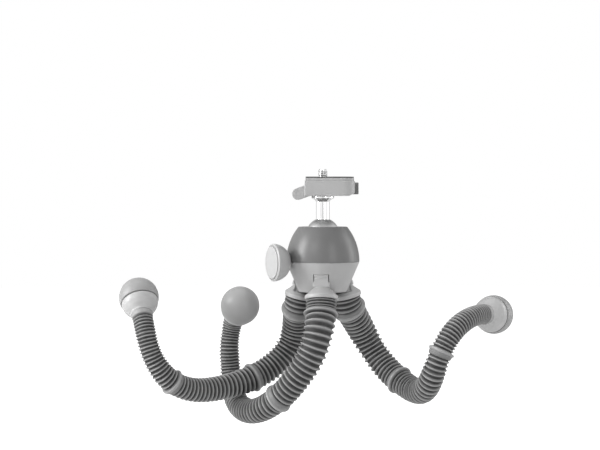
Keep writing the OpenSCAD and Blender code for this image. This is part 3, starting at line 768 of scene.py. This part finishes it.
# %% [markdown]
# ## The route of a leg
# A leg's route is a smooth curve through points round the grip: how far along it, the angle round it and
# how far out. A uniform cubic B-spline never overshoots, which suits a thick sleeve. The first points lie
# on the shoulder's own axis, so the sleeve leaves its cup straight. Stations along the route are lengths in
# millimetres.

# %% Routes
GRIP_R = 16.7
HINGE_R = 15.2
HINGE_Z = 48
SPLAY = radians(14)
CUP_END = 12.4
CUP_SEAT = 1.6
SLEEVE_L = 201
START_STEP = 10
ROUTE_STEPS = 10
LEGS = {
    "a": (267, [(-2, 56, 15), (-6, 86, 11.5), (-14, 114, 12.5), (-27, 144, 18.5), (-46, 174, 25.5),
                (-62, 204, 28), (-66, 238, 21), (-67, 265, 14), (-66, 286, 18), (-63, 305, 21),
                (-60, 319, 15), (-57, 337, 9)]),
    "b": (150, [(-18, -60, 11), (-22, -92, 10), (-35, -122, 10), (-54, -151, 9.2), (-72, -180, 9),
                (-89, -208, 12.5), (-105, -236, 14), (-115, -268, 11), (-119, -300, 12.5), (-123, -330, 17),
                (-128, -364, 19), (-131, -392, 20)]),
    "c": (30, [(26, -60, 10.5), (34, -92, 9.8), (45, -126, 9.8), (59, -162, 9.5), (69, -204, 13),
               (74, -242, 12), (79, -274, 9), (87, -304, 10.5), (100, -332, 9.5), (111, -360, 7.4),
               (117, -388, 8.5), (122, -412, 13)]),
}


class Route:
    """The line that a leg follows, measured in millimetres from the cup's seat."""

    def __init__(self, azimuth, points):
        self.azimuth = radians(azimuth)
        starts = [self.round_grip(self.on_shoulder(CUP_END - CUP_SEAT + START_STEP * i)) for i in (-1, 0, 1)]
        spine = np.array(starts + [(x, angle, GRIP_R + out) for x, angle, out in points], float)
        curve = []
        for p in range(len(spine) - 3):
            for t in np.arange(ROUTE_STEPS) / ROUTE_STEPS:
                weights = np.array(((1 - t) ** 3, 3 * t ** 3 - 6 * t * t + 4,
                                    -3 * t ** 3 + 3 * t * t + 3 * t + 1, t ** 3))
                x, angle, r = weights @ spine[p:p + 4] / 6
                curve.append((x, -r * sin(radians(angle)), r * cos(radians(angle))))
        self.curve = np.array(curve)
        self.travelled = np.concatenate([[0], np.cumsum(np.linalg.norm(np.diff(self.curve, axis=0), axis=1))])

    def on_shoulder(self, length):
        out = HINGE_R + length * sin(SPLAY)
        return np.array((out * cos(self.azimuth), out * sin(self.azimuth), HINGE_Z - length * cos(SPLAY)))

    @staticmethod
    def round_grip(p):
        return (p[0], np.degrees(np.arctan2(-p[1], p[2])), np.hypot(p[1], p[2]))

    def look(self, s):
        return np.array([np.interp(s, self.travelled, self.curve[:, axis]) for axis in range(3)])

    def way(self, s):
        s = min(max(s, 0), SLEEVE_L)
        if s == 0:
            step = self.on_shoulder(1) - self.on_shoulder(0)
        else:
            step = self.look(s + 2) - self.look(max(s - 2, 0))
        return Vector(step).normalized()

    def place(self, s):
        inside = min(max(s, 0), SLEEVE_L)
        return (Vector(self.look(inside)) + self.way(s) * (s - inside)) * MM


routes = {leg: Route(azimuth, points) for leg, (azimuth, points) in LEGS.items()}
for leg, route in routes.items():
    print("leg", leg, "ends at", [round(x / MM, 1) for x in route.place(SLEEVE_L)], "mm")

# %% [markdown]
# ## The shoulders
# A shoulder is one moulding: a flap that closes the slot, a knuckle on the hinge pin and a bell over the
# sleeve's end. The frame's solid has a hollow flare, which clears the shell all round. The real bell is
# fuller on its outer side, so a ring with a straight cone, two wings and a block are added there, cut back
# where the shell swings past them. The remesh then melts all of it into one skin.

# %% Shoulders
BELL = [(4, -3.2), (4.5, -3.2), (11.3, -10), (11.3, -10.4), (4, -10.4)]
WINGS = [(2.8, -1.4), (5.4, -1.4), (5.4, -4.5), (2.8, -4.5)]
WING_HALF = 5.7
BLOCK = [(2.8, 1.2), (5.6, 1.2), (5.6, -4), (2.8, -4)]
BLOCK_HALF = 4.75
SWING_ROOM = [(-15, 1), (5.65, 1), (1.15, -8), (-15, -8)]


def slab(name, outline, half_width):
    """A new object: a convex outline in x and z, drawn out along y. Sizes are in millimetres."""
    work = bmesh.new()
    for x, z in outline:
        for y in (-half_width, half_width):
            work.verts.new((x * MM, y * MM, z * MM))
    bmesh.ops.convex_hull(work, input=work.verts)
    bmesh.ops.recalc_face_normals(work, faces=work.faces)
    return built(name, work)


def fuller_side(route):
    """The shapes that make a shoulder's outer side full, in their place at the hinge."""
    bell = turned("bell", BELL, closed=True)
    wings = slab("wings", WINGS, WING_HALF)
    block = slab("block", BLOCK, BLOCK_HALF)
    for part in (bell, wings):
        cut_away(part, slab("swing_room", SWING_ROOM, 15))
    lean = Matrix.Rotation(route.azimuth, 4, "Z") @ Matrix.Rotation(-SPLAY, 4, "Y")
    for part in (bell, wings, block):
        part.data.transform(Matrix.Translation(Vector(route.on_shoulder(0)) * MM) @ lean)
    return bell, wings, block


for leg, route in routes.items():
    node = f"leg_{leg}_shoulder"
    cup = softened(f"leg_{leg}_hinge_cup", node, 0.27, 4, fuller_side(route))
    dress(cup, "light_plastic", f"leg_{leg}_1", node)

# %% [markdown]
# ## The ribbed sleeves
# A sleeve is a bellows: ribs that get finer towards the foot, three wide bands with a bead at their foot
# side, and a plain collar. It could be modelled ring by ring, but a Geometry Nodes tree says it better:
# resample the route into rings, work out each ring's radius from its station, and sweep a circle. The rib
# wave is a squared sine of the rib number, and the rib number is a logarithm, because each pitch is a fixed
# share of the one before.

# %% The tree of a ribbed sleeve
SLEEVE_SIZES = {
    "Start Station": 0, "Cup Seat": CUP_SEAT * MM, "Sleeve Length": SLEEVE_L * MM,
    "Shoulder Radius": 10.8 * MM, "Foot Radius": 6.8 * MM, "Valley Share": 3.4 / 21.6,
    "Rib Fade": 0.987, "Crest Power": 2.4, "Cup Ribs": 0.85,
    "Band 1": 10.7 * MM, "Band 2": 79 * MM, "Band 3": 146 * MM,
    "Width 1": 4.3 * MM, "Width 2": 5.6 * MM, "Width 3": 5.6 * MM, "Band Out": 1.2 * MM,
    "Collar Length": 4 * MM, "Collar Radius": 7.1 * MM, "Ring Spacing": 0.22 * MM,
}
SLEEVE_COUNTS = {"Ribs 1": 3, "Ribs 2": 17, "Ribs 3": 19, "Ribs 4": 21, "Sides": 40}
BAND_SHAPE = [(0, 0), (0.1, 0.46), (0.3, 0.56), (0.5, 0.62), (0.64, 0.98), (0.8, 0.98), (0.92, 0.5), (1, 0)]


def make_sleeve_tree():
    kinds = {label: FLOAT for label in SLEEVE_SIZES} | {label: COUNT for label in SLEEVE_COUNTS}
    tree, given, result = geometry_tree("ribbed sleeve", kinds | {"Rubber": "NodeSocketMaterial"})
    path = put(tree, "GeometryNodeMeshToCurve", {"Mesh": given["Geometry"]})
    rings = put(tree, "GeometryNodeResampleCurve",
                {"Curve": path.outputs[0], "Length": given["Ring Spacing"]}, mode="LENGTH")
    along = put(tree, "GeometryNodeSplineParameter").outputs["Length"]
    station = calc(tree, "ADD", along, given["Start Station"])

    # Radius of crests and valleys at the station
    share = calc(tree, "DIVIDE", station, given["Sleeve Length"])
    taper = calc(tree, "SUBTRACT", given["Foot Radius"], given["Shoulder Radius"])
    crest_r = calc(tree, "MULTIPLY_ADD", share, taper, given["Shoulder Radius"])
    depth = calc(tree, "MULTIPLY", crest_r, given["Valley Share"])
    valley_r = calc(tree, "SUBTRACT", crest_r, depth)

    # Ribs, stretch by stretch: a wave that rests at zero outside its own stretch
    bands = [(given[f"Band {i}"], given[f"Width {i}"]) for i in (1, 2, 3)]
    last = calc(tree, "SUBTRACT", given["Sleeve Length"], given["Collar Length"])
    starts = [given["Cup Seat"]] + [calc(tree, "MULTIPLY_ADD", width, 0.5, band) for band, width in bands]
    ends = [calc(tree, "MULTIPLY_ADD", width, -0.5, band) for band, width in bands] + [last]
    ribs = 0.0
    for i, (start, end) in enumerate(zip(starts, ends)):
        span = calc(tree, "SUBTRACT", end, start)
        part = calc(tree, "DIVIDE", calc(tree, "SUBTRACT", station, start), span, clamp=True)
        left = calc(tree, "POWER", given["Rib Fade"], given[f"Ribs {i + 1}"])
        inside = calc(tree, "SUBTRACT", 1.0, calc(tree, "MULTIPLY", part, calc(tree, "SUBTRACT", 1.0, left)))
        number = calc(tree, "LOGARITHM", inside, given["Rib Fade"])
        wave = calc(tree, "ABSOLUTE", calc(tree, "SINE", calc(tree, "MULTIPLY", number, pi)))
        crests = calc(tree, "POWER", wave, calc(tree, "MULTIPLY", given["Crest Power"], 2.0))
        ribs = calc(tree, "MULTIPLY_ADD", crests, 1.0 if i else given["Cup Ribs"], ribs)

    # Bands: one drawn shape across their width
    raised = 0.0
    for edge, (_, width) in zip(ends, bands):
        across = calc(tree, "DIVIDE", calc(tree, "SUBTRACT", station, edge), width, clamp=True)
        shape = put(tree, "ShaderNodeFloatCurve", {"Value": across})
        points = shape.mapping.curves[0].points
        for x, y in BAND_SHAPE[1:-1]:
            points.new(x, y)
        points[0].location, points[len(points) - 1].location = BAND_SHAPE[0], BAND_SHAPE[-1]
        shape.mapping.update()
        raised = calc(tree, "ADD", raised, shape.outputs[0])
    band_height = calc(tree, "ADD", depth, given["Band Out"])

    # The ring's radius, drawn over to the plain collar at the foot
    bellows = calc(tree, "MULTIPLY_ADD", ribs, depth, valley_r)
    bellows = calc(tree, "MULTIPLY_ADD", raised, band_height, bellows)
    plain = calc(tree, "MULTIPLY_ADD", given["Collar Length"], 0.3, last)
    collar = put(tree, "ShaderNodeMapRange", {"Value": station, "From Min": last, "From Max": plain},
                 interpolation_type="SMOOTHSTEP")
    to_collar = calc(tree, "SUBTRACT", given["Collar Radius"], bellows)
    radius = calc(tree, "MULTIPLY_ADD", collar.outputs[0], to_collar, bellows)
    # The stored height becomes painted light in the sleeve rubber: a painted highlight on crests and bands,
    # painted shade in the valleys.
    height = calc(tree, "MAXIMUM", calc(tree, "MAXIMUM", ribs, raised), collar.outputs[0])
    keep = put(tree, "GeometryNodeStoreNamedAttribute",
               {"Geometry": rings.outputs[0], "Name": "crest", "Value": height},
               data_type="FLOAT", domain="POINT")
    tube = sweep(tree, keep.outputs[0], radius, given["Sides"], False)
    end_tree(tree, tube, given["Rubber"], result)
    return tree


sleeve_tree = make_sleeve_tree()
print("sleeve tree:", len(sleeve_tree.nodes), "nodes")

# %% [markdown]
# A leg bends at four places, so its sleeve is four pieces, each with one bend inside it. The pieces part in
# the floor of a valley, where no seam shows. The places of each piece's whole first and last rings are
# worked out, but the pieces are not given to the bodies. A Solidify modifier gives the sleeve its
# wall.

# %% Sleeves
ZONE_RIBS = [(1, 10), (2, 6), (3, 2)]
WALL = 0.7 * MM
STATION_STEP = 0.25
RING_DEPTH = 0.4 * MM
RING_REACH = 14 * MM


def rib_station(stretch, rib):
    """Where a rib starts, in millimetres."""
    bands = [(SLEEVE_SIZES[f"Band {i}"] / MM, SLEEVE_SIZES[f"Width {i}"] / MM / 2) for i in (1, 2, 3)]
    starts = [CUP_SEAT] + [band + half for band, half in bands]
    ends = [band - half for band, half in bands] + [SLEEVE_L - SLEEVE_SIZES["Collar Length"] / MM]
    fade, count = SLEEVE_SIZES["Rib Fade"], SLEEVE_COUNTS[f"Ribs {stretch + 1}"]
    return starts[stretch] + (ends[stretch] - starts[stretch]) * (1 - fade ** rib) / (1 - fade ** count)


zone_ends = [0] + [rib_station(*place) for place in ZONE_RIBS] + [SLEEVE_L]


def ring_depth(obj, middle, way, chord):
    """How far along the chord the ring round a middle reaches."""
    offsets = [v.co - middle for v in obj.data.vertices]
    ring = [o for o in offsets if abs(o.dot(way)) < RING_DEPTH and o.length < RING_REACH]
    return max(o.dot(chord) for o in ring)


def bend_between(obj, leg, low, high):
    """Bakes a piece's transform into its mesh. The places of its whole end rings are worked out but not used.
    """
    route = routes[leg]
    start, end = route.place(low), route.place(high)
    chord = (end - start).normalized()
    start += chord * ring_depth(obj, start, route.way(low), chord)
    end -= chord * ring_depth(obj, end, route.way(high), -chord)
    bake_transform(obj)


def make_sleeve(leg, zone):
    low, high = zone_ends[zone - 1], zone_ends[zone]
    stations = np.linspace(low, high, int((high - low) / STATION_STEP) + 1)
    sleeve = polyline(f"leg_{leg}_bellows_{zone}", [routes[leg].place(s) for s in stations])
    values = SLEEVE_SIZES | SLEEVE_COUNTS | {"Start Station": low * MM, "Rubber": finishes["sleeve_rubber"]}
    run_tree(sleeve, sleeve_tree, values)
    wall = sleeve.modifiers.new("wall", "SOLIDIFY")
    wall.thickness = WALL
    wall.offset = -1
    settle(sleeve)
    faces = sleeve.data.polygons
    faces.foreach_set("use_smooth", [True] * len(faces))
    bend_between(sleeve, leg, low, high)
    stands_for = (4, 5) if zone == 4 else (zone,)
    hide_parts(*[f"leg_{leg}_sleeve_{number}" for number in stands_for])
    return len(faces)


for leg in LEGS:
    print("leg", leg, "sleeve faces:", [make_sleeve(leg, zone) for zone in range(1, 5)])

# %% [markdown]
# ## The ends of the cores
# A rod of soft wire runs through each sleeve and holds the leg where it is bent. Only its two ends are
# pieces here, one fixed in the shoulder and one in the foot. They are drawn rods with a small chamfer, so
# the lathe makes them.

# %% Core ends
CORE_R = 3.2
CORE_IN_CUP = 6
CORE_IN_FOOT = 7


def core_end(leg, end, place, way, length, zone):
    outline = [(0, 0), (CORE_R, 0, 0.2), (CORE_R, length, 0.4), (0, length)]
    rod = turned(f"leg_{leg}_wire_{end}", outline, place, way)
    dress(rod, "core_wire", f"leg_{leg}_{zone}", f"leg_{leg}_core_{end}")


for leg, route in routes.items():
    core_end(leg, "top", route.place(0), -route.way(0), CORE_IN_CUP, 1)
    core_end(leg, "end", route.place(SLEEVE_L), route.way(SLEEVE_L), CORE_IN_FOOT, 5)

# %% [markdown]
# ## The feet
# Each foot is a pale cup that flares out of the sleeve's collar, and a soft rubber ball. A narrow groove
# parts them. Both are lathe work about the leg's end.

# %% Feet
FOOT_CUP_L = 10
FOOT_RIM_R = 12.4
FOOT_GROOVE = 0.7
GROOVE_R = 11
FOOT_SPIGOT = (6, 5)
FOOT_BALL_R = 13.6
FOOT_SINK = 4
FOOT_NECK_R = 7.3
FOOT_FLARE = [(7.8, 1.2, 1.2), (9.8, 3.3, 4), (11.7, 6.2, 5)]


def make_foot(leg):
    place, way = routes[leg].place(SLEEVE_L), routes[leg].way(SLEEVE_L)
    body = f"leg_{leg}_5"
    flat = FOOT_CUP_L + FOOT_GROOVE
    spigot_r, spigot_l = FOOT_SPIGOT
    cup = [(CORE_R, 0), (FOOT_NECK_R, 0, 0.2), *FOOT_FLARE, (FOOT_RIM_R, FOOT_CUP_L - 1, 0.8),
           (FOOT_RIM_R, FOOT_CUP_L, 0.3), (GROOVE_R, FOOT_CUP_L), (GROOVE_R, flat), (spigot_r, flat),
           (spigot_r, flat + spigot_l), (0, flat + spigot_l), (0, CORE_IN_FOOT), (CORE_R, CORE_IN_FOOT)]
    pale = turned(f"leg_{leg}_pale_cup", cup, place, way, closed=True)
    dress(pale, "pale_plastic", body, f"leg_{leg}_foot_cup")
    dome_start = -degrees(asin(FOOT_SINK / FOOT_BALL_R))
    dome = arc(0, flat + FOOT_SINK, FOOT_BALL_R, dome_start + 2, 90, 48)
    edge_r = sqrt(FOOT_BALL_R ** 2 - FOOT_SINK ** 2)
    ball = [(0, flat + spigot_l), (spigot_r, flat + spigot_l), (spigot_r, flat), (edge_r, flat, 0.3),
            *dome[:-1], (0, flat + FOOT_SINK + FOOT_BALL_R)]
    rubber = turned(f"leg_{leg}_rubber_ball", ball, place, way)
    dress(rubber, "foot_rubber", body, f"leg_{leg}_foot_ball")


for leg in LEGS:
    make_foot(leg)

# %% [markdown]
# ## The plate's screw
# The quarter-inch screw has twenty threads to the inch. Its core is turned, and the thread is a helix swept
# by a tree: a Spiral, with a small round profile that stands half out of the core.

# %% Screw with thread
PAD_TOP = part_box("plate_pad")[1].z / MM
SCREW_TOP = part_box("plate_screw")[1].z / MM
HEAD_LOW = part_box("plate_screw")[0].z / MM
THREAD_PITCH = 1.27
THREAD_CORE_R = 2.7
SCREW_NECK_R = 2.5
SCREW_HEAD_R = 5.5
SCREW_HEAD_L = 2


def make_thread_tree():
    inputs = {"Pitch": FLOAT, "Radius": FLOAT, "Turns": FLOAT, "Low": FLOAT, "Metal": "NodeSocketMaterial"}
    tree, given, result = geometry_tree("screw thread", inputs)
    height = calc(tree, "MULTIPLY", given["Turns"], given["Pitch"])
    spiral = put(tree, "GeometryNodeCurveSpiral",
                 {"Resolution": 40, "Rotations": given["Turns"], "Start Radius": given["Radius"],
                  "End Radius": given["Radius"], "Height": height})
    lift = put(tree, "ShaderNodeCombineXYZ", {"Z": given["Low"]})
    move = put(tree, "GeometryNodeTransform", {"Geometry": spiral.outputs[0], "Translation": lift.outputs[0]})
    ridge = calc(tree, "MULTIPLY", given["Pitch"], 0.38)
    end_tree(tree, sweep(tree, move.outputs[0], ridge, 8, True), given["Metal"], result)
    return tree


def make_screw():
    head_top = HEAD_LOW + SCREW_HEAD_L
    neck_top = PAD_TOP + 0.4
    outline = [(0, HEAD_LOW), (SCREW_HEAD_R, HEAD_LOW, 0.3), (SCREW_HEAD_R, head_top, 0.3),
               (SCREW_NECK_R, head_top), (SCREW_NECK_R, neck_top), (THREAD_CORE_R, neck_top),
               (THREAD_CORE_R, SCREW_TOP - 0.6, 0.2), (THREAD_CORE_R - 0.6, SCREW_TOP), (0, SCREW_TOP)]
    dress(turned("stud_screw", outline), "steel", "plate_screw", "plate_screw")
    thread = polyline("stud_thread", [(0, 0, 0), (0, 0, MM)])
    turns = (SCREW_TOP - PAD_TOP - 2) / THREAD_PITCH
    run_tree(thread, make_thread_tree(), {
        "Pitch": THREAD_PITCH * MM, "Radius": THREAD_CORE_R * MM, "Turns": turns,
        "Low": (PAD_TOP + 0.9) * MM, "Metal": finishes["steel"]})
    dress(thread, "steel", "plate_screw")


make_screw()

# %% [markdown]
# ## The button's spring
# A small coil spring behind the lock button pushes it out.

# %% Spring
SPRING_LOW, SPRING_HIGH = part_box("button_spring")
SPRING_R = 1.8 * MM
SPRING_WIRE_R = 0.25 * MM
SPRING_TURNS = 5
TURN_POINTS = 24


def make_wire_tree():
    inputs = {"Radius": FLOAT, "Sides": COUNT, "Metal": "NodeSocketMaterial"}
    tree, given, result = geometry_tree("coiled wire", inputs)
    path = put(tree, "GeometryNodeMeshToCurve", {"Mesh": given["Geometry"]})
    wire = sweep(tree, path.outputs[0], given["Radius"], given["Sides"], True)
    end_tree(tree, wire, given["Metal"], result)
    return tree


def make_spring():
    first, last = SPRING_LOW.x + SPRING_WIRE_R, SPRING_HIGH.x - SPRING_WIRE_R
    middle_z = (SPRING_LOW.z + SPRING_HIGH.z) / 2
    coil = []
    for share in np.linspace(0, 1, SPRING_TURNS * TURN_POINTS + 1):
        turn = 2 * pi * SPRING_TURNS * share
        coil.append((first + (last - first) * share, SPRING_R * cos(turn), middle_z + SPRING_R * sin(turn)))
    spring = polyline("spring_of_button", coil)
    run_tree(spring, make_wire_tree(), {"Radius": SPRING_WIRE_R, "Sides": 10, "Metal": finishes["steel"]})
    dress(spring, "steel", body_of_node("button_spring"), "button_spring")
    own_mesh(spring)


make_spring()

# %% [markdown]
# ## Floor, light and background
# A pale floor lies just under the feet of the straightened tripod. The background is white because the
# world and the far floor are white to the camera and to mirrors, while soft lamps light the object at a
# plain level. The mirror white has three soft dark gaps round the horizon, as the spaces between softboxes
# are, and these draw the grey lines on the chrome. Mirrors also see the near floor darker, so that the
# chrome still reads from higher up.

# %% Mirror white
GAPS = ((-90, 7, 0.55), (63, 17, 0.75), (116, 15, 0.5))


def mirror_white(tree, x, y):
    """How white a mirror sees its surroundings on the side of x and y: 1, and less in the gaps."""
    azimuth = calc(tree, "ARCTAN2", y, x)
    white = 1.0
    for angle, width, depth in GAPS:
        off = calc(tree, "DIVIDE", calc(tree, "SUBTRACT", azimuth, radians(angle)), radians(width))
        bell = calc(tree, "POWER", 2.718, calc(tree, "MULTIPLY", calc(tree, "MULTIPLY", off, off), -1.0))
        white = calc(tree, "MULTIPLY_ADD", bell, -depth, white)
    return white


def ramp(tree, value, low, high, low_level):
    """A smooth rise from a low level to 1, between two values."""
    rise = put(tree, "ShaderNodeMapRange",
               {"Value": value, "From Min": low, "From Max": high, "To Min": low_level, "To Max": 1.0},
               interpolation_type="SMOOTHSTEP")
    return rise.outputs[0]


# %% Floor
FLOOR_Z = -0.1445
FLOOR_R = 3
FLOOR_SIDES = 64


def make_floor():
    mesh = bpy.data.meshes.new("floor")
    turns = [2 * pi * k / FLOOR_SIDES for k in range(FLOOR_SIDES)]
    rim = [(FLOOR_R * cos(t), FLOOR_R * sin(t), FLOOR_Z) for t in turns]
    mesh.from_pydata(rim, [], [tuple(range(FLOOR_SIDES))])
    floor = new_object("floor", mesh)
    material, tree, shader = new_finish("pale floor")
    place = put(tree, "ShaderNodeSeparateXYZ", {0: put(tree, "ShaderNodeTexCoord").outputs["Object"]})
    x, y = place.outputs["X"], place.outputs["Y"]
    far = calc(tree, "SQRT", calc(tree, "ADD", calc(tree, "MULTIPLY", x, x), calc(tree, "MULTIPLY", y, y)))
    light = put(tree, "ShaderNodeLightPath").outputs
    seen = calc(tree, "MULTIPLY", ramp(tree, far, 0.25, 0.6, 0.3), light["Is Camera Ray"])
    mirrored = calc(tree, "MULTIPLY", ramp(tree, far, 0.3, 2.2, 0.05), mirror_white(tree, x, y))
    mirrored = calc(tree, "MULTIPLY", mirrored, light["Is Glossy Ray"])
    feed_all(tree, shader, {
        "Base Color": grey(0.95), "Roughness": 0.9, "Specular IOR Level": 0, "Emission Color": (1, 1, 1, 1),
        "Emission Strength": calc(tree, "MAXIMUM", seen, mirrored)})
    mesh.materials.append(material)


make_floor()
print("floor at", FLOOR_Z)

# %% World
AMBIENT = 0.25


def make_world():
    world = bpy.data.worlds.new("studio")
    bpy.context.scene.world = world
    world.use_nodes = True
    tree = world.node_tree
    tree.nodes.clear()
    way = put(tree, "ShaderNodeSeparateXYZ", {0: put(tree, "ShaderNodeTexCoord").outputs["Generated"]})
    mirror = mirror_white(tree, way.outputs["X"], way.outputs["Y"])
    light = put(tree, "ShaderNodeLightPath").outputs
    bright = calc(tree, "MAXIMUM", light["Is Camera Ray"], light["Is Transmission Ray"])
    bright = calc(tree, "MAXIMUM", bright, calc(tree, "MULTIPLY", light["Is Glossy Ray"], mirror))
    level = calc(tree, "MAXIMUM", bright, AMBIENT)
    sky = put(tree, "ShaderNodeBackground", {"Color": (1, 1, 1, 1), "Strength": level})
    put(tree, "ShaderNodeOutputWorld", {"Surface": sky.outputs[0]})


make_world()
print("world ambient", AMBIENT)

# %% Lamps
LAMPS = {
    "key": ((-1.15, -0.3, 0.45), (0.4, 0.9), 12.0),
    "front": ((-0.55, -1.0, 0.75), (0.4, 0.4), 1.6),
    "fill": ((0.62, -0.98, 0.35), (0.16, 0.9), 2.2),
    "rim": ((1.1, 0.3, 0.4), (0.3, 0.9), 3.0),
    "top": ((0.0, 0.15, 1.1), (0.9, 0.7), 3.0),
}
AIM = Vector((0, 0, 0.03))
for name, (place, (width, height), power) in LAMPS.items():
    lamp = bpy.data.lights.new(name, "AREA")
    lamp.shape = "RECTANGLE"
    lamp.size, lamp.size_y = width, height
    lamp.energy = power
    obj = new_object(name, lamp)
    obj.location = place
    obj.rotation_euler = (AIM - Vector(place)).to_track_quat("-Z", "Y").to_euler()
bpy.context.scene.view_settings.view_transform = "Standard"
print("lamps:", ", ".join(LAMPS))

# %% [markdown]
# ## The end
# The last line brings the scene up to date.

# %% Finish
bpy.context.view_layer.update()
